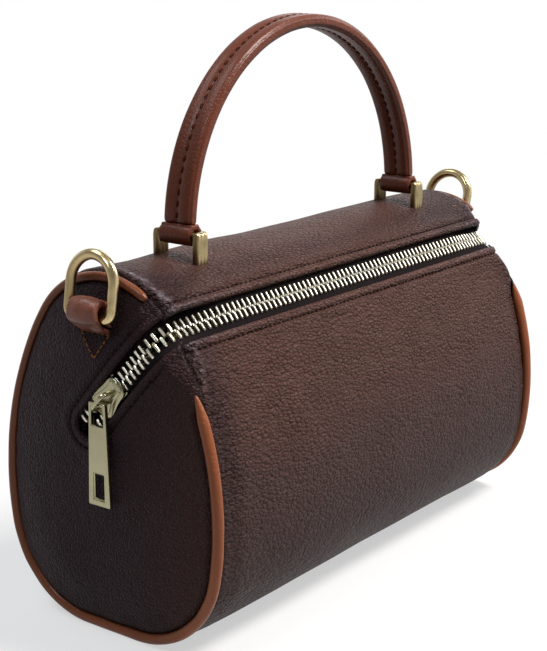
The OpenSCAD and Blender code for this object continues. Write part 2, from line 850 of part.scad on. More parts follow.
// D-ring standing in the Y-Z plane with its bar at the origin; the wire's faces are bevelled
module bevelled_wire() {
    rounded_rect(d_wire, d_wire, d_wire / 4);
}
module d_ring_shape() {
    mid_r = d_ring_w / 2 - d_wire_r;
    leg_h = d_ring_h - mid_r;
    rotate([90, 0, 0])
        cylinder(h = 2 * mid_r, r = d_wire_r, center = true, $fn = wire_fn);
    for (end = [-1, 1])
        translate([0, end * mid_r, -d_wire_r])
            linear_extrude(leg_h + d_wire_r)
                bevelled_wire();
    translate([0, 0, leg_h])
        rotate([90, 0, 90])
            rotate_extrude(angle = 180, $fn = 2 * round_fn)
                translate([mid_r, 0])
                    bevelled_wire();
}
module d_ring(side, lean_in) {
    color([0.70, 0.57, 0.33])
        translate([side * d_bar_x, 0, d_bar_z])
            rotate([0, -side * lean_in, 0])
                d_ring_shape();
}
module left_d_ring() {
    d_ring(-1, left_ring_lean);
}
module right_d_ring() {
    d_ring(1, -right_ring_lean);
}

body_wrap();
left_end_panel();
right_end_panel();
left_piping();
right_piping();
lining();
base_board();
front_zip_tape();
back_zip_tape();
front_zip_teeth();
back_zip_teeth();
zip_top_stops();
zip_bottom_stop();
slider_body();
slider_bail();
zip_pull();
left_handle_ring();
right_handle_ring();
left_ring_plate();
right_ring_plate();
ring_screws();
handle_cover();
handle_core();
left_handle_loop();
right_handle_loop();
left_d_ring_tab();
right_d_ring_tab();
left_d_ring();
right_d_ring();
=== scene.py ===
"""Leather, zip, handle and metal fittings of a barrel bag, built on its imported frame."""

import math

import bmesh
import bpy
import numpy as np
from bpy.props import FloatProperty, FloatVectorProperty, PointerProperty
from mathutils import Matrix, Vector
from mathutils.geometry import delaunay_2d_cdt


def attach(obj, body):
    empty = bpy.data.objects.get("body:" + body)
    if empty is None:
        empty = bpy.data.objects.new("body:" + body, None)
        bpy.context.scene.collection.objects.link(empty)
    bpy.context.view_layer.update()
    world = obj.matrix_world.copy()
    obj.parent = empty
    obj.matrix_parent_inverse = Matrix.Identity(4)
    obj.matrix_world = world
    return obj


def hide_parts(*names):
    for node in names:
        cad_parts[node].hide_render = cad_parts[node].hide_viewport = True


bl_info = {
    "name": "Barrel bag",
    "version": (1, 0, 0),
    "blender": (4, 5, 0),
    "location": "3D View > Sidebar > Bag",
    "description": "Dresses a barrel bag in leather, with a metal zip, a handle and rings",
    "category": "Add Mesh",
}

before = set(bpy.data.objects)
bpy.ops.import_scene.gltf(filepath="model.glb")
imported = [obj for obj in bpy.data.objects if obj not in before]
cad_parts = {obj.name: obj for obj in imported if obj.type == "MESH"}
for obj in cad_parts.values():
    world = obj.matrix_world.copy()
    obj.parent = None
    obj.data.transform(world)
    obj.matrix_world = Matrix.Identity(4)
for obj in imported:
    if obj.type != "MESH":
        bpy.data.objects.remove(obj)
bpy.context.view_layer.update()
MM = 0.001

SKIN = 1.5 * MM             # thickness of the leather that shows
STITCH_LINE = 3.3           # millimetres from a folded lip to its stitches
CORNER_SHARE = 0.29         # of a corner's radius, by which its middle lies in from the faces
SLIDER_PLAY = 0.35 * MM     # between the teeth and the slider's plates
SLIDER_PLATE = 1.2 * MM     # thickness of each plate
BAIL_CLEAR = 4.2 * MM       # between the slider's plate and its bail
HINGE_ABOVE_PLATE = 2.8 * MM
LOOP_RADIUS = 3.9 * MM      # of the handle's leather loops round their bars
SIDES = ((-1, "left"), (1, "right"))
END_SEEDS = {-1: 21, 1: 41}
# A strap ring's tab from its lower end up round the bar and back, as (x, z) in millimetres
TAB_FOLD = np.array([(-5.4, -4.9), (-3.6, -5.2), (-1.6, -4.6), (0.2, -3.5), (1.9, -2.2),
                     (3.0, -0.5), (3.4, 1.4), (3.1, 3.3), (2.0, 4.7), (0.4, 5.2), (-1.3, 4.5),
                     (-2.5, 2.9), (-2.95, 1.0), (-2.9, -0.8), (-3.0, -2.2), (-3.8, -3.1),
                     (-5.4, -3.3)])


# Sizes and colours

def size(label, text, default):
    return FloatProperty(name=label, description=text, default=default * MM, unit="LENGTH",
                         precision=5)


def turn(label, text, default):
    return FloatProperty(name=label, description=text, default=math.radians(default),
                         subtype="ANGLE", unit="ROTATION")


def colour(label, text, default):
    return FloatVectorProperty(name=label, description=text, default=default, subtype="COLOR",
                               size=3, min=0.0, max=1.0)


class BagBodySizes(bpy.types.PropertyGroup):
    length: size("Length", "Length of the body from seam to seam", 220)
    height: size("Height", "Height of the body without its handle", 136)
    top_radius: size("Top radius", "Radius of the rounded top", 38.5)
    base_radius: size("Base radius", "Radius of the rounded lower corners", 39)
    side_radius: size("Side radius", "Radius of the gently curved front and back", 120)
    base_flat: size("Base flat", "Width of the flat strip under the bag", 24)
    bulge: size("End bulge", "How far each end swells out past its seam", 6)
    leather: size("Leather", "Thickness of the leather", 2.2)
    piping: size("Piping", "Radius of the piping", 2.1)
    piping_front: turn("Piping front end", "Normal angle where the piping ends below the zip", 157)
    piping_top: turn("Piping top end", "Normal angle where the piping stops above the zip", 122)


class BagZipSizes(bpy.types.PropertyGroup):
    angle: turn("Angle", "Normal angle of the body where the zip runs", 143.5)
    slot: size("Opening", "Width of the opening along the body", 14.4)
    end_slot: size("End opening", "Width of the opening in the ends", 13.2)
    top_lip: size("Upper lip", "How far the upper lip leans over the opening", 1.9)
    front_lip: size("Lower lip", "How far the lower lip leans over the opening", 0.7)
    pitch: size("Pitch", "Distance between teeth along one tape", 2.85)
    half_width: size("Half width", "Half width of the closed teeth", 3.7)
    tooth_height: size("Tooth height", "Height of a tooth through the tape", 3)
    tape_half: size("Tape", "Half width of both tapes together", 9)
    tape: size("Tape thickness", "Thickness of the woven tape", 0.8)
    end_run: size("End run", "Length of the straight run on each end", 54)
    tape_over: size("Tape end", "How far the tapes run on past the teeth", 5.4)
    end_slope: turn("End slope", "Downward slope of the zip on the ends", 49.5)
    bend: size("Bend", "Radius of the bend at each end", 9)
    row_gap: size("Row gap", "How far the rows part ahead of the slider", 1.6)
    slider_at: size("Slider place", "Place of the slider along the end run", 32)
    slider_length: size("Slider length", "Length of the slider", 14.5)
    hinge_back: size("Hinge place", "Distance of the pull's hinge from the slider's middle", 3.2)
    pull_length: size("Pull length", "Length of the pull below its hinge", 37.6)
    stitch: size("Stitch pitch", "Distance between stitches beside the zip", 2.6)


class BagHandleSizes(bpy.types.PropertyGroup):
    radius: size("Arch radius", "Radius of the arch at the middle of the strap", 73)
    width: size("Width", "Width of the strap", 13)
    thickness: size("Thickness", "Thickness of the strap", 5)
    forward: size("Forward", "Distance of the handle in front of the middle", 3)
    ring_width: size("Ring width", "Outer width of a handle ring", 22)
    ring_height: size("Ring height", "Height of a handle ring above the leather", 9)
    ring_depth: size("Ring depth", "Size of a handle ring along the bag", 6.2)
    post: size("Post", "Thickness of the upright posts", 3.2)
    bar: size("Bar radius", "Radius of the bar that carries the handle", 1.6)
    stitch: size("Stitch pitch", "Distance between stitches on the handle", 4)


class BagRingSizes(bpy.types.PropertyGroup):
    width: size("Width", "Outer width of a strap ring", 24)
    height: size("Height", "Height above the bar to the middle of the wire", 21.6)
    wire: size("Wire", "Thickness of the wire", 3.8)
    bar_height: size("Bar height", "Height of the bar above the base", 121)
    left_lean: turn("Left lean", "Lean of the left ring towards the bag", 9)
    right_lean: turn("Right lean", "Lean of the right ring away from the bag", 15)
    tab_width: size("Tab width", "Width of the leather tab", 15.6)
    tab: size("Tab leather", "Thickness of the tab's leather", 1.5)


class BagColours(bpy.types.PropertyGroup):
    body: colour("Body leather", "Pebbled leather of the body", (0.094, 0.037, 0.027))
    # Painted shade: the ends are the body's leather, drawn darker and bluer as on unlit faces.
    ends: colour("End leather", "Pebbled leather of the ends", (0.030, 0.012, 0.016))
    tan: colour("Piping", "Smooth tan leather of the piping", (0.34, 0.100, 0.038))
    tab: colour("Tabs", "Smooth leather of the tabs", (0.29, 0.095, 0.058))
    handle: colour("Handle", "Smooth leather of the handle", (0.15, 0.038, 0.018))
    thread: colour("Thread", "Dark sewing thread", (0.012, 0.006, 0.005))
    tab_thread: colour("Tab thread", "Thread that sews the tabs", (0.46, 0.18, 0.06))
    tape: colour("Tape", "Woven zip tape", (0.011, 0.007, 0.008))
    teeth: colour("Teeth", "Polished teeth of the zip", (0.78, 0.73, 0.60))
    pale_gold: colour("Pale gold", "Slider and pull", (0.42, 0.39, 0.25))
    old_gold: colour("Old gold", "Rings", (0.52, 0.41, 0.22))
    lining: colour("Lining", "Cloth inside the bag", (0.16, 0.12, 0.09))


# Curves that the pieces share

def smooth(x, lo, hi):
    """A smooth step from 0 at lo to 1 at hi."""
    k = np.clip((np.asarray(x, float) - lo) / (hi - lo), 0, 1)
    return k * k * (3 - 2 * k)


def ramp(d, lo, hi):
    """A smooth step over a distance, with lo and hi in millimetres."""
    return smooth(d, lo * MM, hi * MM)


def bell(d, at, width):
    """A soft ridge over a distance, with at and width in millimetres."""
    return np.exp(-((d - at * MM) / (width * MM)) ** 2)


def fade(d, width):
    """Falls from 1 at distance 0 towards 0, with width in millimetres."""
    return np.exp(-d / (width * MM))


def unit(v):
    return v / np.linalg.norm(v, axis=-1, keepdims=True)


def angles(count):
    return np.linspace(0, 2 * math.pi, count, endpoint=False)


def at_x(x, yz):
    """Points from their x and their (y, z)."""
    return np.concatenate([np.broadcast_to(x, yz.shape[:-1])[..., None], yz], -1)


def soft_noise(u, v, seed):
    """Smooth noise from -1 to 1 on a square lattice, the same for the same seed."""
    table = np.random.default_rng(seed).uniform(-1, 1, (64, 64))
    u, v = np.broadcast_arrays(np.asarray(u, float), np.asarray(v, float))
    iu, iv = np.floor(u).astype(int), np.floor(v).astype(int)
    fu, fv = u - iu, v - iv
    fu, fv = fu * fu * (3 - 2 * fu), fv * fv * (3 - 2 * fv)
    a, b = table[iu % 64, iv % 64], table[(iu + 1) % 64, iv % 64]
    c, d = table[iu % 64, (iv + 1) % 64], table[(iu + 1) % 64, (iv + 1) % 64]
    return (a * (1 - fu) + b * fu) * (1 - fv) + (c * (1 - fu) + d * fu) * fv


def rolled_edge(distance, radius):
    """Drop of a leather edge that is turned under within radius of its end."""
    k = np.clip(1 - np.asarray(distance, float) / radius, 0, 1)
    return radius * (1 - np.sqrt(np.clip(1 - k * k, 0, 1)))


class Outline:
    """The body's cross-section, walked from the middle of the zip down the front and round."""

    def __init__(self, body, zip_angle):
        top = np.array([0.0, body.height - body.top_radius])
        corner = np.array([body.base_flat / 2, body.base_radius])
        gap = np.linalg.norm(corner - top)
        way = (corner - top) / gap
        a, b = body.side_radius - body.top_radius, body.side_radius - body.base_radius
        along = (a * a - b * b + gap * gap) / (2 * gap)
        across = math.sqrt(a * a - along * along)
        side = top + along * way + across * np.array([way[1], -way[0]])
        low = math.atan2(corner[1] - side[1], corner[0] - side[0])
        high = math.atan2(top[1] - side[1], top[0] - side[0])
        flip = np.array([-1.0, 1.0])
        pi = math.pi
        self.zip_angle, self.high, self.top_radius = zip_angle, high, body.top_radius
        self.side_radius = body.side_radius
        self.legs = [(top, body.top_radius, zip_angle, pi - high),
                     (side * flip, body.side_radius, pi - high, pi - low),
                     (corner * flip, body.base_radius, pi - low, 1.5 * pi),
                     (None, body.base_flat, 0.0, 1.0),
                     (corner, body.base_radius, -pi / 2, low),
                     (side, body.side_radius, low, high),
                     (top, body.top_radius, high, zip_angle)]
        self.marks = np.concatenate([[0], np.cumsum([r * (b - a) for _, r, a, b in self.legs])])
        self.girth = self.marks[-1]

    def place(self, angle):
        """Distance along the seam of a normal angle near the zip, on the front or on the top."""
        if angle < self.zip_angle:
            return self.girth - (self.zip_angle - angle) * self.top_radius
        turned = math.pi - self.high
        if angle <= turned:
            return (angle - self.zip_angle) * self.top_radius
        return self.marks[1] + (angle - turned) * self.side_radius

    def at(self, s, inset=0.0):
        """Points (y, z) at distances s, moved in by inset, and their outward normals."""
        s = np.asarray(s, float)
        yz, normal = np.zeros(s.shape + (2,)), np.zeros(s.shape + (2,))
        last = len(self.legs) - 1
        for i, (centre, r, a, _) in enumerate(self.legs):
            m = (s >= self.marks[i]) if i else (s < self.marks[1])
            if i < last:
                m &= s <= self.marks[i + 1]
            if centre is None:
                yz[m] = np.stack([-r / 2 + s[m] - self.marks[i], 0 * s[m]], -1)
                normal[m] = (0.0, -1.0)
            else:
                angle = a + (s[m] - self.marks[i]) / r
                normal[m] = np.stack([np.cos(angle), np.sin(angle)], -1)
                yz[m] = centre + r * normal[m]
        return yz - np.asarray(inset)[..., None] * normal, normal


class ZipRoute:
    """Path of the zip along the front, round each corner and down each end."""

    def __init__(self, body, z, outline):
        self.outline = outline
        drop = body.top_radius - math.sqrt(body.top_radius ** 2 - z.tape_half ** 2)
        self.depth = body.leather + 0.1 * MM + z.tape / 2 + drop
        self.normal = math.pi - z.end_slope
        self.twist = z.angle - self.normal
        self.sink = z.tape_half * math.sin(self.twist) + body.leather / 4
        self.corner_x = body.length / 2 + body.piping / 2
        end_x = body.length / 2 + body.bulge - body.leather - z.tape / 2 - 0.36 * MM
        self.lean = math.asin((end_x - self.corner_x) / z.end_run)
        self.turn = math.pi / 2 - self.lean
        self.r = z.bend
        tangent = z.bend * math.tan(self.turn / 2)
        self.body_run = self.corner_x - tangent
        self.twist_run = 2.5 * z.bend
        self.bend_len = z.bend * self.turn
        self.length = self.body_run + self.bend_len + z.end_run - tangent
        self.slider = self.body_run + self.bend_len + z.slider_at - tangent
        self.part_from = self.slider - z.slider_length / 8
        self.part_to = self.slider + z.slider_length / 3
        self.row_gap = z.row_gap
        self.end_corner = self.stop(np.array([1.0]))[0][1:]
        self.down = np.array([math.cos(z.end_slope), -math.sin(z.end_slope)])
        self.across = np.array([math.sin(z.end_slope), math.cos(z.end_slope)])

    def out(self, angle):
        angle = np.asarray(angle, float)
        return np.stack([0 * angle, np.cos(angle), np.sin(angle)], -1)

    def stop(self, k):
        yz, _ = self.outline.at(0 * k, self.depth + self.sink * k)
        return np.concatenate([0 * k[..., None], yz], -1)

    def at(self, s):
        """Positions, directions, widths and outward directions at distances s from the middle."""
        s = np.asarray(s, float)
        u = np.abs(s)
        x_axis = np.array([1.0, 0, 0])
        k = np.clip((u - self.body_run + self.twist_run) / self.twist_run, 0, 1)
        p = self.stop(k) + np.minimum(u, self.body_run)[..., None] * x_axis
        t = np.zeros(s.shape + (3,)) + x_axis
        n = self.out(self.outline.zip_angle - self.twist * k)
        past = np.clip((u - self.body_run) / self.r, 0, self.turn)[..., None]
        n_end = self.out(np.full(s.shape, self.normal))
        bent = u > self.body_run
        t_b = np.cos(past) * x_axis - np.sin(past) * n_end
        n_b = np.cos(past) * n_end + np.sin(past) * x_axis
        p_b = p + self.r * (np.sin(past) * x_axis - (1 - np.cos(past)) * n_end)
        rest = np.maximum(u - self.body_run - self.bend_len, 0)[..., None]
        p_b = p_b + rest * t_b
        t, n, p = (np.where(bent[..., None], b, a) for a, b in ((t, t_b), (n, n_b), (p, p_b)))
        flip = np.where(s < 0, -1.0, 1.0)[..., None] * x_axis + np.array([0, 1.0, 1.0])
        p, n, t = p * flip, n * flip, t * flip * np.where(s < 0, -1.0, 1.0)[..., None]
        return p, t, np.cross(n, t), n

    def parting(self, s):
        return self.row_gap * np.clip((-s - self.part_from) / (self.part_to - self.part_from),
                                      0, 1)


def colours():
    return bpy.context.scene.bag_colours


def shared():
    """The four groups of sizes, as the panel shows them, the outline and the zip's route."""
    s = bpy.context.scene
    body, z = s.bag_body, s.bag_zip
    outline = Outline(body, z.angle)
    return body, z, s.bag_handle, s.bag_rings, outline, ZipRoute(body, z, outline)


# Mesh tools

def linked(name, data):
    obj = bpy.data.objects.new(name, data)
    bpy.context.collection.objects.link(obj)
    return obj


def shade(obj, is_smooth):
    faces = obj.data.polygons
    faces.foreach_set("use_smooth", np.full(len(faces), is_smooth))


def face_out(obj):
    bm = bmesh.new()
    bm.from_mesh(obj.data)
    if bm.calc_volume(signed=True) < 0:
        bmesh.ops.reverse_faces(bm, faces=bm.faces)
        bm.to_mesh(obj.data)
    bm.free()


def new_piece(name, verts, faces, attributes=(), uv=None):
    """A mesh object at the origin whose closed surface is turned to face outwards."""
    mesh = bpy.data.meshes.new(name)
    mesh.from_pydata(np.asarray(verts, float).tolist(), [], faces)
    for key, values in attributes:
        mesh.attributes.new(key, "FLOAT", "POINT").data.foreach_set(
            "value", np.asarray(values, np.float32))
    if uv is not None:
        layer = mesh.uv_layers.new(name="sheet")
        loops = np.zeros(len(mesh.loops), np.int32)
        mesh.loops.foreach_get("vertex_index", loops)
        layer.data.foreach_set("uv", np.asarray(uv, np.float32)[loops].ravel())
    obj = linked(name, mesh)
    face_out(obj)
    shade(obj, True)
    return obj


def grid_quads(rows, columns, start=0, around=False, along=False):
    """Quads of a grid of points; around and along join its last column and row to the first."""
    i = np.arange(rows if along else rows - 1)[:, None]
    j = np.arange(columns if around else columns - 1)[None, :]
    here, below = i * columns, (i + 1) % rows * columns
    following = (j + 1) % columns
    quads = np.stack([here + j, here + following, below + following, below + j], -1)
    return (quads.reshape(-1, 4) + start).tolist()


def shell(name, outer, inner, attributes=(), uv=None):
    """A closed sheet from two grids of points, outside and inside, joined round their edges."""
    rows, columns = outer.shape[:2]
    count = rows * columns
    faces = grid_quads(rows, columns)
    faces += [f[::-1] for f in grid_quads(rows, columns, count)]
    index = np.arange(count).reshape(rows, columns)
    ring = np.concatenate([index[0], index[1:, -1], index[-1, -2::-1], index[-2:0:-1, 0]])
    following = np.roll(ring, -1)
    faces += np.stack([following, ring, ring + count, following + count], -1).tolist()
    verts = np.concatenate([outer.reshape(-1, 3), inner.reshape(-1, 3)])
    attributes = [(k, np.concatenate([v.ravel(), v.ravel()])) for k, v in attributes]
    if uv is not None:
        uv = np.concatenate([uv.reshape(-1, 2)] * 2)
    return new_piece(name, verts, faces, attributes, uv)


def tube(name, rings, closed=False, attributes=()):
    """A closed skin through rings of points, capped unless its path is closed."""
    rows, columns = rings.shape[:2]
    faces = grid_quads(rows, columns, around=True, along=closed)
    if not closed:
        faces.append(list(range(columns))[::-1])
        faces.append(list(range((rows - 1) * columns, rows * columns)))
    return new_piece(name, rings.reshape(-1, 3), faces, [(k, v.ravel()) for k, v in attributes])


def prism(name, loop, levels):
    """A tube from a loop of (x, y) carried up through heights."""
    return tube(name, np.stack([np.column_stack([loop, np.full(len(loop), h)]) for h in levels]))


def rounded_loop(half_w, half_h, radius, steps):
    """Points of a rectangle with round corners, with steps points on each corner."""
    points = []
    for k, (x, y) in enumerate(((1, 1), (-1, 1), (-1, -1), (1, -1))):
        for a in np.linspace(0, math.pi / 2, steps):
            points.append((x * (half_w - radius) + radius * math.cos(a + k * math.pi / 2),
                           y * (half_h - radius) + radius * math.sin(a + k * math.pi / 2)))
    return np.array(points)


def band(name, outer, inner, depths, place):
    """A ring with a hole: two loops of as many points, carried through depths by place."""
    count = len(outer)
    layers = [place(np.concatenate([outer, inner]), d) for d in depths]
    last = (len(depths) - 1) * 2 * count
    faces = []
    for j in range(count):
        k = (j + 1) % count
        for a in range(0, last, 2 * count):
            b = a + 2 * count
            faces.append([a + j, a + k, b + k, b + j])
            faces.append([a + count + k, a + count + j, b + count + j, b + count + k])
        faces.append([j, count + j, count + k, k])
        faces.append([last + k, last + count + k, last + count + j, last + j])
    return new_piece(name, np.concatenate(layers), faces)


def bevel(obj, width, segments, angle):
    m = obj.modifiers.new("Bevel", "BEVEL")
    m.width, m.segments, m.limit_method = width, segments, "ANGLE"
    m.angle_limit = math.radians(angle)


def settle(obj):
    """Turns the object's modifiers into plain mesh."""
    graph = bpy.context.evaluated_depsgraph_get()
    mesh = bpy.data.meshes.new_from_object(obj.evaluated_get(graph))
    obj.modifiers.clear()
    old, obj.data = obj.data, mesh
    bpy.data.meshes.remove(old)


def joined(name, objects):
    """One object from several plain ones."""
    bm = bmesh.new()
    for o in objects:
        bm.from_mesh(o.data)
    mesh = bpy.data.meshes.new(name)
    bm.to_mesh(mesh)
    bm.free()
    for o in objects:
        bpy.data.objects.remove(o)
    return linked(name, mesh)


def moved(obj, matrix):
    obj.data.transform(matrix)
    face_out(obj)
    return obj


def dressed(obj, material, slot, body, *nodes):
    """Gives a piece its material, hides the CAD nodes it replaces and hangs it on the body it
    rides on.
    """
    obj.data.materials.clear()
    obj.data.materials.append(material)
    if nodes:
        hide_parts(*nodes)
    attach(obj, body)
    return obj


# Node tools

def feed(tree, node, values):
    """Sets or links a node's inputs."""
    for key, value in values.items():
        if isinstance(value, bpy.types.NodeSocket):
            tree.links.new(value, node.inputs[key])
        else:
            node.inputs[key].default_value = value


def put(tree, kind, values=(), **settings):
    """A node with its settings and its input values or links."""
    node = tree.nodes.new(kind)
    for key, value in settings.items():
        setattr(node, key, value)
    feed(tree, node, dict(values))
    return node


def maths(tree, operation, *values):
    return put(tree, "ShaderNodeMath", enumerate(values), operation=operation).outputs[0]


def maximum(tree, first, *more):
    for value in more:
        first = maths(tree, "MAXIMUM", first, value)
    return first


def scaled(tree, vector, scale):
    return put(tree, "ShaderNodeVectorMath", {0: vector, "Scale": scale},
               operation="SCALE").outputs["Vector"]


def stretched(tree, vector, *scale):
    return put(tree, "ShaderNodeMapping", {"Vector": vector, "Scale": scale}).outputs["Vector"]


def noise(tree, vector, scale, detail, roughness=0.5, output="Fac"):
    return put(tree, "ShaderNodeTexNoise", {"Vector": vector, "Scale": scale, "Detail": detail,
                                            "Roughness": roughness}).outputs[output]


def ranged(tree, value, lo, hi, to_lo=0.0, to_hi=1.0, kind="LINEAR"):
    return put(tree, "ShaderNodeMapRange",
               {"Value": value, "From Min": lo, "From Max": hi, "To Min": to_lo,
                "To Max": to_hi}, interpolation_type=kind).outputs["Result"]


def mixed(tree, factor, a, b):
    return put(tree, "ShaderNodeMix", {0: factor, 6: a, 7: b}, data_type="RGBA").outputs[2]


def attribute(tree, name):
    return put(tree, "ShaderNodeAttribute", attribute_name=name).outputs["Fac"]


def object_place(tree):
    return put(tree, "ShaderNodeTexCoord").outputs["Object"]


def bumped(tree, height, strength, distance):
    return put(tree, "ShaderNodeBump", {"Height": height, "Strength": strength,
                                        "Distance": distance}).outputs["Normal"]


def tint(base, k):
    return tuple(min(1.0, c * k) for c in base) + (1.0,)


# Repeats made by Geometry Nodes

def repeat_tree():
    """Sets a pattern on every point of the mesh, turned by the point's own angles."""
    name = "Set Along"
    if name in bpy.data.node_groups:
        return bpy.data.node_groups[name]
    tree = bpy.data.node_groups.new(name, "GeometryNodeTree")
    for label, kind in (("Geometry", "Geometry"), ("Pattern", "Object"),
                        ("Material", "Material"), ("Unevenness", "Float"), ("Seed", "Int")):
        tree.interface.new_socket(label, in_out="INPUT", socket_type="NodeSocket" + kind)
    tree.interface.new_socket("Geometry", in_out="OUTPUT", socket_type="NodeSocketGeometry")
    given = tree.nodes.new("NodeGroupInput").outputs
    pattern = put(tree, "GeometryNodeObjectInfo", {"Object": given["Pattern"]})
    own = put(tree, "GeometryNodeInputNamedAttribute", {"Name": "angles"},
              data_type="FLOAT_VECTOR")
    spread = put(tree, "FunctionNodeRandomValue",
                 {"Seed": given["Seed"], "Min": (-1, -1, -1), "Max": (1, 1, 1)},
                 data_type="FLOAT_VECTOR")
    tilt = scaled(tree, spread.outputs["Value"], given["Unevenness"])
    total = put(tree, "ShaderNodeVectorMath", {0: own.outputs["Attribute"], 1: tilt})
    turned = put(tree, "FunctionNodeEulerToRotation", {"Euler": total.outputs["Vector"]})
    sets = put(tree, "GeometryNodeInstanceOnPoints",
               {"Points": given["Geometry"], "Instance": pattern.outputs["Geometry"],
                "Rotation": turned.outputs["Rotation"]})
    real = put(tree, "GeometryNodeRealizeInstances", {"Geometry": sets.outputs["Instances"]})
    paint = put(tree, "GeometryNodeSetMaterial", {"Geometry": real.outputs["Geometry"],
                                                  "Material": given["Material"]})
    put(tree, "NodeGroupOutput", {"Geometry": paint.outputs["Geometry"]})
    return tree


def set_along(name, pattern, material, p, t, w, n, unevenness, seed):
    """A plain mesh with pattern at each place p, its axes along t, w and n."""
    mesh = bpy.data.meshes.new(name)
    mesh.from_pydata(p.tolist(), [], [])
    turns = [Matrix(axes).transposed().to_euler("XYZ")[:] for axes in zip(t, w, n)]
    mesh.attributes.new("angles", "FLOAT_VECTOR", "POINT").data.foreach_set(
        "vector", np.array(turns, np.float32).ravel())
    obj = linked(name, mesh)
    tree = repeat_tree()
    m = obj.modifiers.new("Set Along", "NODES")
    m.node_group = tree
    keys = {i.name: i.identifier for i in tree.interface.items_tree
            if i.item_type == "SOCKET" and i.in_out == "INPUT"}
    for key, value in (("Pattern", pattern), ("Material", material),
                       ("Unevenness", math.radians(unevenness)), ("Seed", seed)):
        m[keys[key]] = value
    settle(obj)
    bpy.data.objects.remove(pattern)
    shade(obj, True)
    return obj


def stitch_pattern(length, radius):
    """One stitch: a short thread that dips into the leather at both ends."""
    k = np.linspace(-1, 1, 7)[:, None]
    r = radius * (1 - 0.55 * np.abs(k) ** 3)
    lift = radius * (0.75 - 1.9 * np.abs(k) ** 4)
    a = angles(6)
    rings = np.broadcast_arrays(k * length / 2, r * np.cos(a), lift + r * np.sin(a))
    return tube("stitch", np.stack(rings, -1))


def sewn(name, material, runs, length, radius, unevenness, seed, slot, body):
    """Stitches along runs of places, their directions and their outward directions."""
    p, t, n = (np.concatenate(parts) for parts in zip(*runs))
    t = unit(t - (t * n).sum(1, keepdims=True) * n)
    obj = set_along(name, stitch_pattern(length, radius), material, p, t, np.cross(n, t), n,
                    unevenness, seed)
    dressed(obj, material, slot, body)


# Shader groups and materials

def group(name, inputs, nodes):
    """A shader group of values; an input without a default is a vector."""
    if name in bpy.data.node_groups:
        return bpy.data.node_groups[name]
    tree = bpy.data.node_groups.new(name, "ShaderNodeTree")
    for label, default in inputs.items():
        kind = "NodeSocketVector" if default is None else "NodeSocketFloat"
        socket = tree.interface.new_socket(label, in_out="INPUT", socket_type=kind)
        if default is not None:
            socket.default_value = default
    results = nodes(tree, tree.nodes.new("NodeGroupInput").outputs)
    for label in results:
        tree.interface.new_socket(label, in_out="OUTPUT", socket_type="NodeSocketFloat")
    put(tree, "NodeGroupOutput", results)
    return tree


def use_group(tree, made, **values):
    return put(tree, "ShaderNodeGroup", values, node_tree=made).outputs


def grain_nodes(tree, given):
    """Pebbled grain: rounded cells with creases between them."""
    place = scaled(tree, given["Vector"], maths(tree, "DIVIDE", 1.0, given["Cell"]))
    wander = noise(tree, place, 0.7, 1.0, output="Color")
    shift = put(tree, "ShaderNodeVectorMath", {0: wander, 1: (0.5, 0.5, 0.5)},
                operation="SUBTRACT").outputs["Vector"]
    bent = put(tree, "ShaderNodeVectorMath", {0: place, 1: scaled(tree, shift, 0.9)})
    cells = {"Vector": bent.outputs["Vector"], "Scale": 1.0}
    away = put(tree, "ShaderNodeTexVoronoi", cells).outputs["Distance"]
    edges = put(tree, "ShaderNodeTexVoronoi", cells,
                feature="DISTANCE_TO_EDGE").outputs["Distance"]
    dome = maths(tree, "SUBTRACT", 1.0, maths(tree, "MULTIPLY", away, away))
    pebble = ranged(tree, edges, 0.0, 0.3, kind="SMOOTHSTEP")
    strength = maths(tree, "MULTIPLY_ADD", noise(tree, place, 0.16, 3.0, 0.55), 1.6, 0.1)
    height = maths(tree, "MULTIPLY_ADD", pebble, 0.3, dome)
    height = maths(tree, "MULTIPLY", height, strength)
    height = maths(tree, "MULTIPLY_ADD", noise(tree, place, 6.0, 4.0, 0.65), 0.10, height)
    crease = maths(tree, "POWER", maths(tree, "SUBTRACT", 1.0, pebble), 3.0)
    return {"Height": height, "Crease": maths(tree, "MULTIPLY", crease, given["Creases"]),
            "Tone": noise(tree, place, 0.045, 4.0, 0.6)}


def wear_and_highlight_nodes(tree, given):
    """Rubbed edges with painted highlights: a mask that breaks up an edge attribute with noise."""
    scuffs = noise(tree, given["Vector"], given["Scale"], 5.0, 0.7)
    broken = ranged(tree, scuffs, 0.35, 0.75)
    return {"Mask": maths(tree, "MULTIPLY", given["Edge"], broken), "Scuffs": scuffs}


def weave_nodes(tree, given):
    """Ribbed weave: ribs across, and slanted threads on each rib."""
    place = scaled(tree, given["Vector"], given["Ribs"])
    ribs, rows = (put(tree, "ShaderNodeTexWave",
                      {"Vector": place, "Scale": scale, "Distortion": wobble, "Detail": 1.0},
                      bands_direction=way).outputs["Fac"]
                  for scale, wobble, way in ((0.32, 0.3, "X"), (0.2, 0.6, "DIAGONAL")))
    height = maths(tree, "MULTIPLY_ADD", rows, 0.5, ribs)
    height = maths(tree, "MULTIPLY_ADD", noise(tree, place, 1.6, 3.0), 0.5, height)
    return {"Height": height, "Thread": ribs}


def polish_nodes(tree, given):
    """Fine rubbing marks and tarnish on polished metal."""
    drawn = stretched(tree, given["Vector"], 1.0, 1.0, 7.0)
    tarnish = noise(tree, given["Vector"], 160.0, 5.0, 0.65)
    return {"Marks": noise(tree, drawn, given["Scale"], 6.0, 0.7),
            "Tarnish": ranged(tree, tarnish, 0.48, 0.72)}


def worn_and_lit(tree, place, scale):
    made = group("Rubbed Edges", {"Vector": None, "Edge": 0.0, "Scale": 400.0}, wear_and_highlight_nodes)
    return use_group(tree, made, Vector=place, Edge=attribute(tree, "edge"), Scale=scale)


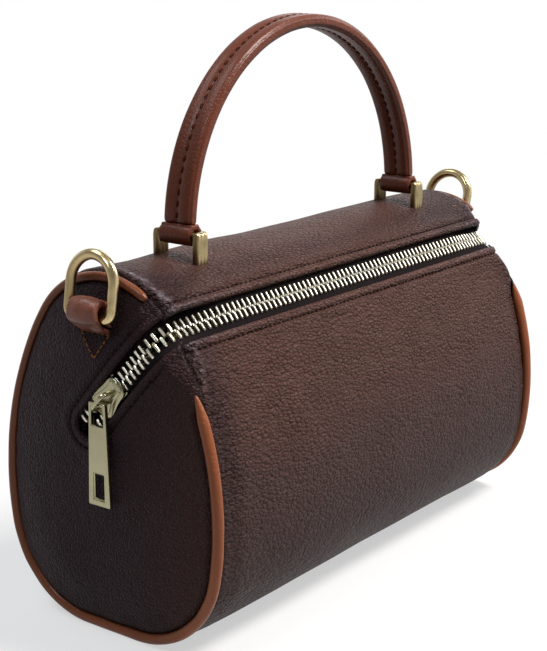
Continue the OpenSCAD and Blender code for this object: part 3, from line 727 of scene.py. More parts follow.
def woven(tree, place, base, dark, light, ribs, strength, distance):
    made = group("Tape Weave", {"Vector": None, "Ribs": 1700.0}, weave_nodes)
    weave = use_group(tree, made, Vector=place, Ribs=ribs)
    return {"Base Color": mixed(tree, weave["Thread"], tint(base, dark), tint(base, light)),
            "Normal": bumped(tree, weave["Height"], strength, distance)}


def finish(name, looks, *given, **more):
    """The material of that name; looks gives what feeds its Principled shader."""
    name += "_finish"
    if name in bpy.data.materials:
        return bpy.data.materials[name]
    m = bpy.data.materials.new(name)
    m.use_nodes = True
    tree = m.node_tree
    feed(tree, tree.nodes["Principled BSDF"], looks(tree, *given, **more))
    return m


def leather(tree, base, cell, relief, rough, pebbled=False, gloss=0.15, level=0.17, turned=None):
    """Leather with grain, tone, grime, painted shade and rubbed edges with painted highlights."""
    place = object_place(tree)
    made = group("Leather Grain", {"Vector": None, "Cell": 0.0016, "Creases": 1.0}, grain_nodes)
    grain = use_group(tree, made, Vector=stretched(tree, place, 0.58, 1.0, 1.0), Cell=cell,
                      Creases=1.0 if pebbled else 0.5)
    wear_and_highlight = worn_and_lit(tree, place, 420.0)
    col = mixed(tree, grain["Tone"], tint(base, 0.78), tint(base, 1.22))
    # Painted shade and light: the turned mask blends in the other leather's colour, dimmed.
    if turned:
        col = mixed(tree, attribute(tree, "turned"), col, tint(turned, 0.8))
    # Painted shade in the grain's creases.
    dark = maths(tree, "MULTIPLY", grain["Crease"], 0.6 if pebbled else 0.25)
    col = mixed(tree, dark, col, tint(base, 0.42))
    # The seam mask darkens as grime and as painted shade in seams, grooves and recesses.
    grime_and_shade = maths(tree, "MULTIPLY", attribute(tree, "seam"), 0.65)
    col = mixed(tree, grime_and_shade, col, tint(base, 0.28))
    # Rubbed edges turn lighter, as scuffing and as painted highlights on folded edges.
    light = tint([c * 1.9 + 0.02 for c in base], 1.0)
    col = mixed(tree, maths(tree, "MULTIPLY", wear_and_highlight["Mask"], 0.55), col, light)
    # Painted highlight: a pale bluish shine on ridges and lip edges, broken up by scuffs.
    if turned:
        sheen = maths(tree, "MULTIPLY", ranged(tree, wear_and_highlight["Scuffs"], 0.42, 0.62),
                      attribute(tree, "sheen"))
        col = mixed(tree, maths(tree, "MULTIPLY", sheen, 0.6), col, (0.36, 0.33, 0.39, 1))
    r = maths(tree, "MULTIPLY_ADD", grain["Crease"], 0.18, rough - 0.07)
    r = maths(tree, "MULTIPLY_ADD", wear_and_highlight["Scuffs"], 0.14, r)
    r = maths(tree, "SUBTRACT", r, maths(tree, "MULTIPLY", wear_and_highlight["Mask"], 0.12))
    height = grain["Height"]
    if pebbled:
        folds = noise(tree, stretched(tree, place, 80.0, 700.0, 700.0), 1.0, 2.0)
        folds = maths(tree, "MULTIPLY", folds, attribute(tree, "pucker"))
        height = maths(tree, "MULTIPLY_ADD", folds, 4.5, height)
    return {"Base Color": col, "Roughness": r, "Normal": bumped(tree, height, 1.0, relief),
            "Specular IOR Level": level, "Coat Weight": 0.02 if pebbled else gloss,
            "Coat Roughness": 0.2}


def metal(tree, base, rough, tarnish):
    """Polished metal, tarnished in spots, with painted shade and painted highlights from its
    masks.
    """
    place = object_place(tree)
    made = group("Metal Polish", {"Vector": None, "Scale": 300.0}, polish_nodes)
    polish = use_group(tree, made, Vector=place, Scale=420.0)
    tarnish_and_shade = maximum(tree, maths(tree, "MULTIPLY", polish["Tarnish"], tarnish),
                   attribute(tree, "seam"))
    # Dark colour for tarnish and for painted shade.
    old = (base[0] * 0.36, base[1] * 0.31, base[2] * 0.26, 1)
    col = mixed(tree, tarnish_and_shade, tint(base, 1.0), old)
    painted_highlight = maths(tree, "MULTIPLY", worn_and_lit(tree, place, 700.0)["Mask"], 0.5)
    r = maths(tree, "MULTIPLY_ADD", polish["Marks"], 0.14, rough - 0.05)
    return {"Base Color": mixed(tree, painted_highlight, col, tint(base, 1.25)), "Metallic": 1.0,
            "Roughness": maths(tree, "MULTIPLY_ADD", tarnish_and_shade, 0.2, r),
            "Normal": bumped(tree, polish["Marks"], 0.5, 0.00003)}


def thread(tree, base):
    twist = put(tree, "ShaderNodeTexWave", {"Vector": object_place(tree), "Scale": 1500.0,
                                            "Distortion": 1.5},
                bands_direction="DIAGONAL").outputs["Fac"]
    return {"Base Color": mixed(tree, twist, tint(base, 0.6), tint(base, 1.3)),
            "Roughness": 0.62, "Specular IOR Level": 0.1,
            "Normal": bumped(tree, twist, 0.8, 0.0001)}


def tape(tree, base):
    uv = put(tree, "ShaderNodeUVMap", uv_map="sheet").outputs["UV"]
    return {**woven(tree, uv, base, 0.55, 1.7, 1700.0, 1.0, 0.00018),
            "Roughness": 0.85, "Specular IOR Level": 0.1}


def cloth(tree, base):
    return {**woven(tree, object_place(tree), base, 0.8, 1.2, 1400.0, 0.6, 0.0002),
            "Roughness": 0.9}


def pale_gold():
    return finish("pale_gold", metal, colours().pale_gold, 0.2, 0.15)


def zip_teeth_metal():
    return finish("zip_teeth", metal, colours().teeth, 0.24, 0.35)


# Leather of the body and its ends

def stations(marks, steps):
    """Places from the first mark to the last, with about steps[i] between them on stretch i."""
    parts = [np.linspace(a, b, max(1, round((b - a) / step)), endpoint=False)
             for a, b, step in zip(marks[:-1], marks[1:], steps)]
    return np.concatenate(parts + [[marks[-1]]])


def bare(outline, body, s):
    """How plain the end seam is at s: 0 beside the piping, 1 where it has none."""
    front, top = outline.place(body.piping_front), outline.place(body.piping_top)
    return 1 - smooth(s, front, front + 8 * MM) * (1 - smooth(s, top - 1.5 * MM, top))


def corner_drop(radius, depth):
    """Drop of a round corner at depth in from its other face."""
    k = np.clip(radius - depth, 0, radius)
    return radius - np.sqrt(radius ** 2 - k ** 2)


def corner_radius(o, z, s):
    """Radius of the plain seam's corner, larger where it meets the zip."""
    away = np.clip(np.minimum(s, o.girth - s) - z.slot / 2, 0, None)
    return (2.6 + 9.4 * bell(away, 0, 11)) * MM


def corner_cut(o, z, s):
    """How far the plain seam lies in from the corner of its two faces."""
    return CORNER_SHARE * corner_radius(o, z, s) + 0.05 * MM


def lip_form(d, raised):
    """Rise of a folded lip, and its groove, at distance d from the zip's opening."""
    lip = raised * (1 - ramp(d, 2.5, 3.4)) - rolled_edge(d, 1.1 * MM)
    return lip + (0.35 * bell(d, 5.4, 1.7) - 0.55 * bell(d, STITCH_LINE, 0.5)) * MM


def make_body_leather():
    body, z, _, _, o, _ = shared()
    edge, last = z.slot / 2 - z.front_lip, o.girth - z.slot / 2 + z.top_lip
    half = body.length / 2 - body.piping
    fine, fine_x, coarse, border, border_x = (k * MM for k in (0.45, 0.7, 1.8, 7, 14))
    s, x = np.meshgrid(
        stations([edge, edge + border, last - border, last], [fine, coarse, fine]),
        stations([-half, -half + border_x, half - border_x, half], [fine_x, coarse, fine_x]))
    plain = bare(o, body, s)
    reach = half + plain * (body.piping - corner_cut(o, z, s))
    x = x + np.sign(x) * (reach - half) * smooth(np.abs(x), half - border_x, half)
    d_end, d_slot = reach - np.abs(x), np.minimum(s - edge, last - s)
    upper, left = s > o.girth / 2, x < 0

    # Relief: lips, seams, puckers beside the seams, and the slack of the leather between them
    side = np.where(left, 29.0, 11.0)
    lower = ~upper * np.clip(1.6 - s / (90 * MM), 0, 1) * ramp(s, 14, 30)
    rise = lip_form(d_slot, np.where(upper, 0.6, 0.35) * MM)
    rise -= rolled_edge(d_end, 2.4 * MM) * 0.8 * (1 - plain)
    rise -= 2.4 * MM * (1 - ramp(d_end, 0, 12)) * lower
    rise -= plain * (corner_drop(corner_radius(o, z, s), body.length / 2 - np.abs(x))
                     + rolled_edge(d_end, 1.2 * MM) - 0.7 * MM * bell(d_end, 2.8, 1.5))
    rise += MM * (
        fade(d_end, 6) * (0.3 + 0.45 * plain)
        * soft_noise(s / (5.5 * MM) + side, d_end / (14 * MM), 3)
        + fade(d_end, 4) * 0.16 * soft_noise(s / (2.3 * MM), side, 4)
        + bell(d_slot, 5, 3) * 0.22 * soft_noise(x / (7 * MM), 5.0, 5))
    waves = (soft_noise(x / (48 * MM), s / (40 * MM), 6) * 0.7
             + soft_noise(x / (21 * MM) + 9, s / (18 * MM), 7) * 0.25) * MM
    rise += waves * ramp(d_end, 0, 25) * ramp(d_slot, 3, 18)
    base = smooth(-o.at(s)[1][..., 1], 0.75, 0.97)
    rise = np.where(rise > 0, rise * (1 - base), rise)

    # Masks: grime and painted shade, scuffed edges with painted highlights, folds, painted shine
    # Seam: grime at the seam's edge, painted shade in the stitch groove and beside the lower
    # piping
    seam = (fade(d_end, 1.3) + 0.35 * bell(d_slot, STITCH_LINE, 0.6)
            + 0.7 * lower * np.exp(-(d_end / (6 * MM)) ** 1.5))
    rub_and_highlight = 0.8 * bell(d_slot, 1.2, 0.7) + (0.4 + 0.7 * plain) * bell(d_end, 2.6, 1.3)
    # Turned: painted shade near the ends, beside the front piping and low on the front
    turned = np.where(
        upper,
        0.75 * bell(d_end, 0, np.where(left, 20, 42)) + 0.4 * bell(d_slot, 12, 6),
        np.maximum(bell(d_end, 0, 12) * np.where(left, 0.85, 0.3), 0.75 * ramp(s, 30, 95)))
    # Painted highlights along the plain seam's ridge and the lips' edges
    sheen = bell(d_end, 2.8, 1.2) * np.where(
        upper, smooth(s, last - 34 * MM, last - 22 * MM), 0.5 - 0.5 * ramp(s, 14, 26))
    sheen += bell(d_slot, 0.9, 0.5) * fade(d_end, 22)
    obj = shell("body_leather", *(at_x(x, o.at(s, depth - rise)[0]) for depth in (0, SKIN)),
                (("seam", np.clip(seam, 0, 1)), ("edge", np.clip(rub_and_highlight, 0, 1)),
                 ("pucker", fade(d_end, 7)), ("turned", np.clip(turned, 0, 0.85)),
                 ("sheen", np.clip(sheen, 0, 1))))
    c = colours()
    m = finish("body_leather", leather, c.body, 1.2 * MM, 0.00085, 0.38, True, level=0.14,
               turned=c.ends)
    dressed(obj, m, "body_leather", "bag", "body_wrap")


def nearest(points, a, b):
    """Distance of each point to the stretches from a to b, the nearest one, and its share."""
    ab = b - a
    length = np.maximum((ab ** 2).sum(1), 1e-12)
    found = []
    for part in np.array_split(points, max(1, len(points) // 2000)):
        ap = part[:, None] - a
        k = np.clip((ap * ab).sum(-1) / length, 0, 1)
        gap = np.linalg.norm(ap - k[..., None] * ab, axis=-1)
        j = gap.argmin(1)
        rows = np.arange(len(j))
        found.append(np.stack([gap[rows, j], j, k[rows, j]]))
    return np.concatenate(found, 1)


class EndFace:
    """Outer face of an end: its rim, the opening for the zip and its height at any place."""

    def __init__(self, body, z, rings, o, route):
        self.body, self.z, self.o, self.route = body, z, o, route
        self.half = (z.end_slot - z.top_lip - z.front_lip) / 2
        self.round_at = z.end_run - z.end_slot / 2
        self.origin = route.end_corner - (z.top_lip - z.front_lip) / 2 * route.across
        self.walk = np.linspace(0, o.girth, 700)
        self.line, _ = o.at(self.walk)
        self.slit_z = rings.bar_height - 1.15 * (rings.wire / 2 + 0.3 * MM + rings.tab)

    def along_slot(self, a, b):
        """Points at distances a down the opening's middle line and b across it."""
        a, b = (np.asarray(v)[..., None] for v in (a, b))
        return self.origin + a * self.route.down + b * self.route.across

    def slot_distance(self, yz):
        rel = yz - self.origin
        a, b = rel @ self.route.down, rel @ self.route.across
        return np.hypot(a - np.minimum(a, self.round_at), b) - self.half

    def rim_distance(self, yz):
        """Distance in from the body's outline, and the place along it."""
        gap, j, k = nearest(yz.reshape(-1, 2), self.line[:-1], self.line[1:])
        where = (j + k) * self.walk[1]
        return gap.reshape(yz.shape[:-1]), where.reshape(yz.shape[:-1])

    def rim(self, s):
        plain = bare(self.o, self.body, s)
        return ((2 * self.body.piping - 0.25 * MM) * (1 - plain)
                + corner_cut(self.o, self.z, s) * plain)

    def detail(self, yz, seed):
        """Height over the seam's plane, a mask of grime and painted shade, and a rubbed, lit mask.
        """
        d, s = self.rim_distance(yz)
        d_slot, from_rim = self.slot_distance(yz), d - self.rim(s)
        plain = bare(self.o, self.body, s)
        x = self.body.bulge * (1 - (1 - np.clip(d / (36 * MM), 0, 1)) ** 2.2)
        x = x - rolled_edge(from_rim, 2.4 * MM) * 0.9 * (1 - plain)
        x = x - plain * (corner_drop(corner_radius(self.o, self.z, s), d)
                         + 0.7 * rolled_edge(from_rim, 0.9 * MM))
        inside = np.maximum(from_rim, 0)
        y, height = yz[..., 0], yz[..., 1]
        dent = bell(height - self.slit_z, 0, 2.2) * (1 - ramp(np.abs(y), 7.5, 10))
        x = x + lip_form(d_slot, 0.25 * MM) - 0.7 * MM * dent + MM * (
            fade(inside, 6) * (0.28 + 0.3 * plain)
            * soft_noise(s / (5 * MM) + seed, from_rim / (16 * MM), seed)
            + fade(inside, 6) * 0.14 * soft_noise(s / (2.2 * MM), seed + 0.5, seed + 1)
            + 0.5 * soft_noise(y / (24 * MM) + 7, height / (26 * MM), seed + 2)
            * ramp(from_rim, 2, 20) * ramp(d_slot, 3, 12))
        # Seam mask: grime at the rim, painted shade in the tab's dent and the stitch groove
        seam = fade(inside, 1.3) + dent * 0.8 + 0.7 * bell(d_slot, STITCH_LINE, 0.6)
        # Lighter lips and rim: scuffing with painted highlights
        rub_and_highlight = 0.7 * bell(d_slot, 1.2, 0.7) + 0.4 * bell(from_rim, 2.6, 1.4)
        return x, np.clip(seam, 0, 1), np.clip(rub_and_highlight, 0, 1)

    def spots(self, side, yz, seed, lift):
        """Places on the face in the frame, with their outward directions."""
        step = 0.3 * MM
        here = self.detail(yz, seed)[0]
        slopes = [(self.detail(yz + move, seed)[0] - here) / step
                  for move in ([step, 0], [0, step])]
        n = unit(np.stack([np.ones_like(here), *(-v for v in slopes)], -1))
        flip = np.array([side, 1.0, 1.0])
        return (at_x(self.body.length / 2 + here, yz) + lift * n) * flip, n * flip

    def loop(self):
        """Rim and opening as one loop of points."""
        rel = self.line - self.origin
        across, walk, girth = rel @ self.route.across, self.walk, self.o.girth
        near = np.abs(rel @ self.route.down) < 40 * MM
        near &= self.line[:, 1] > self.body.height * 0.6
        first = walk[(walk < girth / 3) & near & (across < -self.half)].min()
        last = walk[(walk > girth * 2 / 3) & near & (across > self.half)].max()
        s = stations([first, last], [1.3 * MM])
        edge, _ = self.o.at(s, self.rim(s))
        top, front = (
            self.along_slot(np.arange((end - self.origin) @ self.route.down + 0.9 * MM,
                                      self.round_at, 1.2 * MM), sign * self.half)
            for end, sign in ((edge[-1], 1), (edge[0], -1)))
        t = np.linspace(math.pi / 2, -math.pi / 2, 22)
        low = self.along_slot(self.round_at + self.half * np.cos(t), self.half * np.sin(t))
        return np.concatenate([edge, top, low, front[::-1]])


def inside_loop(points, loop):
    y, z = points[:, 0, None], points[:, 1, None]
    a, b = loop, np.roll(loop, -1, 0)
    crossing = (a[:, 1] > z) != (b[:, 1] > z)
    with np.errstate(divide="ignore", invalid="ignore"):
        at = (b[:, 0] - a[:, 0]) * (z - a[:, 1]) / (b[:, 1] - a[:, 1]) + a[:, 0]
    return (crossing & (y < at)).sum(1) % 2 == 1


def filled(loop, rings, spacing):
    """Triangles that fill a loop, with points at the ring distances and a grid inside them."""
    following = np.roll(loop, -1, 0)
    ahead = following - np.roll(loop, 1, 0)
    turn_sign = np.sign((loop[:, 0] * following[:, 1] - loop[:, 1] * following[:, 0]).sum())
    inward = unit(np.stack([-ahead[:, 1], ahead[:, 0]], -1)) * turn_sign

    def kept(p, margin):
        p = p[inside_loop(p, loop)]
        return p[nearest(p, loop, following)[0] > margin]

    (low_y, low_z), (high_y, high_z) = loop.min(0), loop.max(0)
    y, z = np.meshgrid(np.arange(low_y, high_y, spacing),
                       np.arange(low_z, high_z, spacing * 0.866))
    y = y + (np.arange(len(z)) % 2)[:, None] * spacing / 2
    points = np.concatenate([loop] + [kept(loop + inward * d, 0.93 * d) for d in rings]
                            + [kept(np.stack([y.ravel(), z.ravel()], -1),
                                    rings[-1] + 0.7 * spacing)])
    out = delaunay_2d_cdt([Vector(q) * 1000 for q in points], [],
                          [list(range(len(loop)))], 1, 1e-5)
    return np.array([tuple(v) for v in out[0]]) / 1000, [list(f) for f in out[2]]


def thick_patch(name, side, x, thick, yz, faces, attributes=()):
    """A closed sheet on one end from a triangulated face, and its copy that lies further in."""
    if side < 0:
        faces = [f[::-1] for f in faces]
    outer = at_x(side * x, yz)
    inner = outer - np.array([side * thick, 0, 0])
    count = len(outer)
    edges = {(f[i], f[(i + 1) % 3]): True for f in faces for i in range(3)}
    rim = [[b, a, a + count, b + count] for a, b in edges if (b, a) not in edges]
    faces = faces + [[i + count for i in f[::-1]] for f in faces] + rim
    attributes = [(k, np.concatenate([v, v])) for k, v in attributes]
    return new_piece(name, np.concatenate([outer, inner]), faces, attributes)


def make_end_leathers():
    body, z, _, rings, o, route = shared()
    face = EndFace(body, z, rings, o, route)
    ring_marks = [k * MM for k in (0.35, 0.8, 1.35, 2.0, 2.7, 3.3, 3.9, 4.8)]
    yz, triangles = filled(face.loop(), ring_marks, 1.6 * MM)
    c = colours()
    m = finish("end_leather", leather, c.ends, 1.15 * MM, 0.0006, 0.4, True, level=0.12,
               turned=c.body)
    # Painted light: each end blends to the body's colour towards its front, darker behind.
    lit_front_share = 0.8 * ramp(-yz[:, 0], 12, 50)
    for side, word in SIDES:
        height, seam, rub_and_highlight = face.detail(yz, END_SEEDS[side])
        obj = thick_patch(word + "_end_leather", side, body.length / 2 + height, SKIN, yz,
                          triangles, (("seam", seam), ("edge", rub_and_highlight), ("turned", lit_front_share)))
        dressed(obj, m, "end_leather", "bag", word + "_end_panel")


def make_piping():
    body, _, _, _, o, _ = shared()
    front, top = o.place(body.piping_front), o.place(body.piping_top)
    s = stations([front, front + 12 * MM, top - 2 * MM, top], [0.6 * MM, 1.5 * MM, 0.4 * MM])
    on_top = smooth(s, 0.6 * o.girth, 0.75 * o.girth)
    r = body.piping * np.clip((s - front) / (10 * MM), 0.004, 1) ** 0.55
    r = r * (1 - 0.45 * np.clip(1 - (top - s) / (3.5 * MM), 0, 1) ** 2) * (1 - 0.2 * on_top)
    yz, normal = o.at(s, body.piping * (1 + 0.15 * on_top))
    a = angles(18)
    # Painted shade on the back half, and grime with painted shade on the side that meets the body
    shade_back = 0.8 * smooth(s, 0.4 * o.girth, 0.55 * o.girth)[:, None]
    grime_and_shade = np.maximum(np.clip(-np.cos(a), 0, 1), shade_back)
    m = finish("piping_leather", leather, colours().tan, 1.1 * MM, 0.0001, 0.33, gloss=0.2)
    for (side, word), seed in zip(SIDES, (61, 71)):
        uneven = r[:, None] * (1 + 0.035 * soft_noise(s[:, None] / (7 * MM), a / 1.2, seed))
        out = (uneven * np.cos(a))[..., None]
        rings = at_x(side * body.length / 2 + uneven * np.sin(a),
                     yz[:, None] + out * normal[:, None])
        obj = tube(word + "_piping", rings, False, (("seam", grime_and_shade), ("edge", grime_and_shade * 0)))
        dressed(obj, m, "tan_leather", "bag", word + "_piping")


def make_lining():
    body, z, _, rings, o, route = shared()
    depth, thick = 6.8 * MM, 0.8 * MM
    end = body.length / 2 - body.piping - body.leather - 0.3 * MM
    edge = z.tape_half + 2.4 * MM
    s, x = np.meshgrid(stations([edge, o.girth - edge], [4 * MM]),
                       stations([-end, end], [5 * MM]))
    slack = (soft_noise(s / (17 * MM), x / (20 * MM), 81) + 1) * 0.6 * MM
    slack = depth + slack * ramp(end - np.abs(x), 0, 15)
    parts = [shell("lining_sleeve", *(at_x(x, o.at(s, slack + d)[0]) for d in (0, thick)))]
    face = EndFace(body, z, rings, o, route)
    face.half, face.origin = z.tape_half + 0.6 * MM, route.end_corner
    face.round_at = z.end_run - z.end_slot / 4
    face.rim = lambda s: 0 * s + depth
    yz, triangles = filled(face.loop(), [2 * MM], 5 * MM)
    parts += [thick_patch("lining_end", side, end, thick, yz, triangles) for side in (-1, 1)]
    m = finish("lining_cloth", cloth, colours().lining)
    dressed(joined("lining_cloth", parts), m, "lining_cloth", "bag", "lining")


# Zip

def tooth_rings(z):
    """One tooth: a bar with a bevelled nose that grips the tape, in the zip's own frame."""
    half, top, width = 0.52 * MM, z.tooth_height / 2, z.half_width
    loop = [(-0.7 * MM, 0.35), (-0.3 * MM, 0.82), (0.7 * MM, 1.0), (width - 0.5 * MM, 1.0),
            (width, 0.72)]
    points = np.array([(w, k * top) for w, k in loop] + [(w, -k * top) for w, k in loop[::-1]])
    centre = points.mean(0)
    return np.stack([at_x(x * half, centre + (points - centre) * k)
                     for x, k in ((-1, 0.86), (-0.6, 1.0), (0.6, 1.0), (1, 0.86))])


def make_teeth():
    _, z, _, _, _, route = shared()
    m = zip_teeth_metal()
    count = math.floor((route.length - 1.5 * z.pitch) / z.pitch)
    for side, word, seed in ((-1, "front", 5), (1, "back", 6)):
        pattern = tube("tooth", tooth_rings(z) * [1, side, 1])
        s = (np.arange(-count, count + 1) + side / 4) * z.pitch
        p, t, w, n = route.at(s)
        p = p + (side * route.parting(s))[:, None] * w
        obj = set_along(word + "_teeth", pattern, m, p, t, w, n, 1.6, seed)
        shade(obj, False)
        dressed(obj, m, "zip_metal", "bag", word + "_zip_teeth")


def make_tapes():
    _, z, _, _, _, route = shared()
    m = finish("zip_tape", tape, colours().tape)
    inner = z.half_width - z.tooth_height / 2 + 0.1 * MM
    end = route.length + z.tape_over
    across = np.array([0, 0.25, 0.55, 0.9, 1.5, 2.6, 4.0, 5.4, 6.3, 6.7]) * MM
    s, k = np.meshgrid(stations([-end, end], [1.2 * MM]), across, indexing="ij")
    p, _, w, n = route.at(s)
    start = inner + route.parting(s)
    place = start + k * (z.tape_half - start) / across[-1]
    thick = (z.tape / 2 + 0.3 * 0.35 * MM * bell(k, 0.5, 0.55))[..., None]
    u = np.abs(s) - route.body_run
    bent = ramp(u, -9, 2) * (1 - ramp(u, 12, 20))
    for side, word in ((-1, "front"), (1, "back")):
        sag = (0.12 * soft_noise(s / (11 * MM), k / (5 * MM), 90 + side)
               + 0.6 * bent * ramp(k, 0.9, 2.6)) * MM
        mid = p + (side * place)[..., None] * w + sag[..., None] * n
        obj = shell(word + "_tape", mid + thick * n, mid - thick * n, (),
                    np.stack([s, place], -1))
        dressed(obj, m, "zip_tape", "bag", word + "_zip_tape")


def smooth_loop(p):
    """A closed loop with its corners cut twice."""
    for _ in range(2):
        q = np.roll(p, -1, 0)
        p = np.stack([0.75 * p + 0.25 * q, 0.25 * p + 0.75 * q], 1).reshape(-1, 2)
    return p


def pillow(name, loop, levels):
    """A plate from a loop carried through levels of (height, inset)."""
    rel = loop - loop.mean(0)
    reach = np.linalg.norm(rel, axis=1, keepdims=True)
    return tube(name, np.stack([
        np.column_stack([loop.mean(0) + rel * np.maximum(0.05, 1 - inset / reach),
                         np.full(len(loop), h)]) for h, inset in levels]))


def slider_loop(z, grow):
    tail = z.slider_length / 2
    tail_half = z.half_width + 0.25 * MM + grow
    shoulder = tail_half + z.row_gap
    side = [(tail, tail_half), (tail / 4, tail_half), (-tail / 2, shoulder),
            (-0.8 * tail, shoulder - 0.22 * MM), (-tail, shoulder / 2)]
    return np.array(side + [(x, -y) for x, y in side[::-1]])


def steps_from(start, *steps):
    """Heights and insets of a pillow in millimetres, counted from start."""
    return [(start + h * MM, inset * MM) for h, inset in steps]


def slider_axes(route):
    """Position of the slider, with its directions along the zip, across it and outwards."""
    return (a[0] for a in route.at(np.array([-route.slider])))


def plate_top(z):
    """Height of the slider's upper plate above the middle of the teeth."""
    return z.tooth_height / 2 + SLIDER_PLAY + SLIDER_PLATE


def make_slider():
    _, z, _, _, _, route = shared()
    k, m = MM, pale_gold()
    p, t, w, n = slider_axes(route)
    place = Matrix([*np.column_stack([t, w, n, p]).tolist(), [0, 0, 0, 1]])
    channel = z.tooth_height / 2 + SLIDER_PLAY
    loop = smooth_loop(slider_loop(z, 0.7 * k))
    parts = [pillow("top", loop, steps_from(channel, (0, 0.25), (0.25, 0), (0.75, 0), (1.05, 0.25),
                                        (1.2, 0.75), (1.25, 2.2))),
             pillow("bottom", loop, steps_from(-channel, (0, 0.25), (-0.25, 0), (-0.9, 0),
                                           (-1.2, 0.3))),
             pillow("crown", smooth_loop(slider_loop(z, -1.1 * k)),
                    steps_from(channel, (1, 0), (1.45, 0.15), (1.62, 0.7), (1.66, 2.0)))]
    line = slider_loop(z, 0)[:4]
    xs = np.array([z.slider_length / 2 - 0.2 * k, z.slider_length / 8, -z.slider_length / 4,
                   -z.slider_length / 3])
    ys = np.interp(-xs, -line[:, 0], line[:, 1])
    flange = np.concatenate([np.column_stack([xs, ys + 0.7 * k]),
                             np.column_stack([xs, ys])[::-1]])
    parts += [prism("flange", flange * [1, side], (0.7 * k * half, (channel + 0.1 * k) * half))
              for side in (-1, 1) for half in (-1, 1)]
    a = angles(12)
    post = np.column_stack([1.2 * k - z.slider_length / 2 + 0.6 * k * np.cos(a),
                            0.6 * k * np.sin(a)])
    parts.append(prism("post", post, (-channel - 0.3 * k, channel + 0.3 * k)))
    for x in (-0.34, 0.36):
        bar = rounded_loop(0.55 * k, 3.1 * k, 0.5 * k, 4) + [x * z.slider_length, 0]
        parts.append(pillow("rib", bar, steps_from(channel, (1.1, 0), (1.5, 0.02), (1.75, 0.3))))
    obj = moved(joined("slider", parts), place)
    bevel(obj, 0.12 * k, 2, 40)
    dressed(obj, m, "pale_gold", "slider", "slider_body")
    dressed(moved(bail(z), place), m, "pale_gold", "slider", "slider_bail")


def bail(z):
    """An arch of flat wire whose feet flare on the slider's plate."""
    k = MM
    top, thick, r = plate_top(z), 1.1 * k, 2.1 * k
    x0, x1 = -2.2 * k - z.hinge_back - thick / 2, 5 * k - z.hinge_back + thick / 2
    h = top + BAIL_CLEAR + thick / 2
    path = [(x0, top - 0.3 * k), (x0, top + 0.6 * k), (x0, h - r)]
    path += [(x0 + r - r * math.cos(q), h - r + r * math.sin(q))
             for q in np.linspace(0.25, math.pi / 2, 6)]
    path += [(x1 - r + r * math.sin(q), h - r + r * math.cos(q))
             for q in np.linspace(0.0, math.pi / 2, 7)]
    path = np.array(path + [(x1, top + 0.6 * k), (x1, top - 0.3 * k)])
    ahead = unit(np.gradient(path, axis=0))
    flare = 1 + 0.5 * fade(np.maximum(path[:, 1] - top, 0), 0.9)
    section = rounded_loop(thick / 2, 0.75 * k, 0.3 * k, 3)
    rings = np.stack([path[:, 0, None] - ahead[:, 1, None] * section[:, 0],
                      flare[:, None] * section[:, 1],
                      path[:, 1, None] + ahead[:, 0, None] * section[:, 0]], -1)
    return tube("bail", rings)


def make_pull():
    _, z, _, _, _, route = shared()
    k, m = MM, pale_gold()
    p, t, _, n = slider_axes(route)
    hinge = p - z.hinge_back * t + n * (plate_top(z) + HINGE_ABOVE_PLATE)
    length, thick, top_half, low_half = z.pull_length, 2 * k, 3.8 * k, 5.1 * k
    zs = np.array([0.7, -0.7, -7.9, 12.2 - length / k, 2.2 - length / k, -length / k]) * k
    half = np.interp(-zs, [-0.7 * k, length], [top_half, low_half])
    inner = np.array([2.9, 2.9, 2.9, 2.7, 2.7, 2.7]) * k
    verts = [(x, y, zs[i]) for x in (-thick / 2, thick / 2) for i in range(6)
             for y in (-half[i], -inner[i], inner[i], half[i])]
    cells = {(i, j) for i in range(5) for j in range(3)} - {(1, 1), (3, 1)}
    faces = []
    for i, j in cells:
        corners = [(i, j), (i, j + 1), (i + 1, j + 1), (i + 1, j)]
        back, front = ([layer * 24 + a * 4 + b for a, b in corners] for layer in (0, 1))
        faces += [back, front[:1] + front[:0:-1]]
        for q, (di, dj) in enumerate(((-1, 0), (0, 1), (1, 0), (0, -1))):
            if (i + di, j + dj) not in cells:
                r = (q + 1) % 4
                faces.append([back[r], back[q], front[q], front[r]])
    obj = new_piece("pull", np.array(verts) + hinge, faces)
    bevel(obj, 0.42 * k, 3, 30)
    dressed(obj, m, "pale_gold", "pull", "zip_pull")
    centre = hinge + np.array([0, 0, 7.2 * k - length])
    step = band("pull_step", rounded_loop(3.0 * k, 5.3 * k, 0.5 * k, 4),
                rounded_loop(2.3 * k, 4.6 * k, 0.6 * k, 4), [-0.45 * k, 0.45 * k],
                lambda yz, d: at_x(d, yz) + centre)
    dressed(step, m, "pale_gold", "pull")


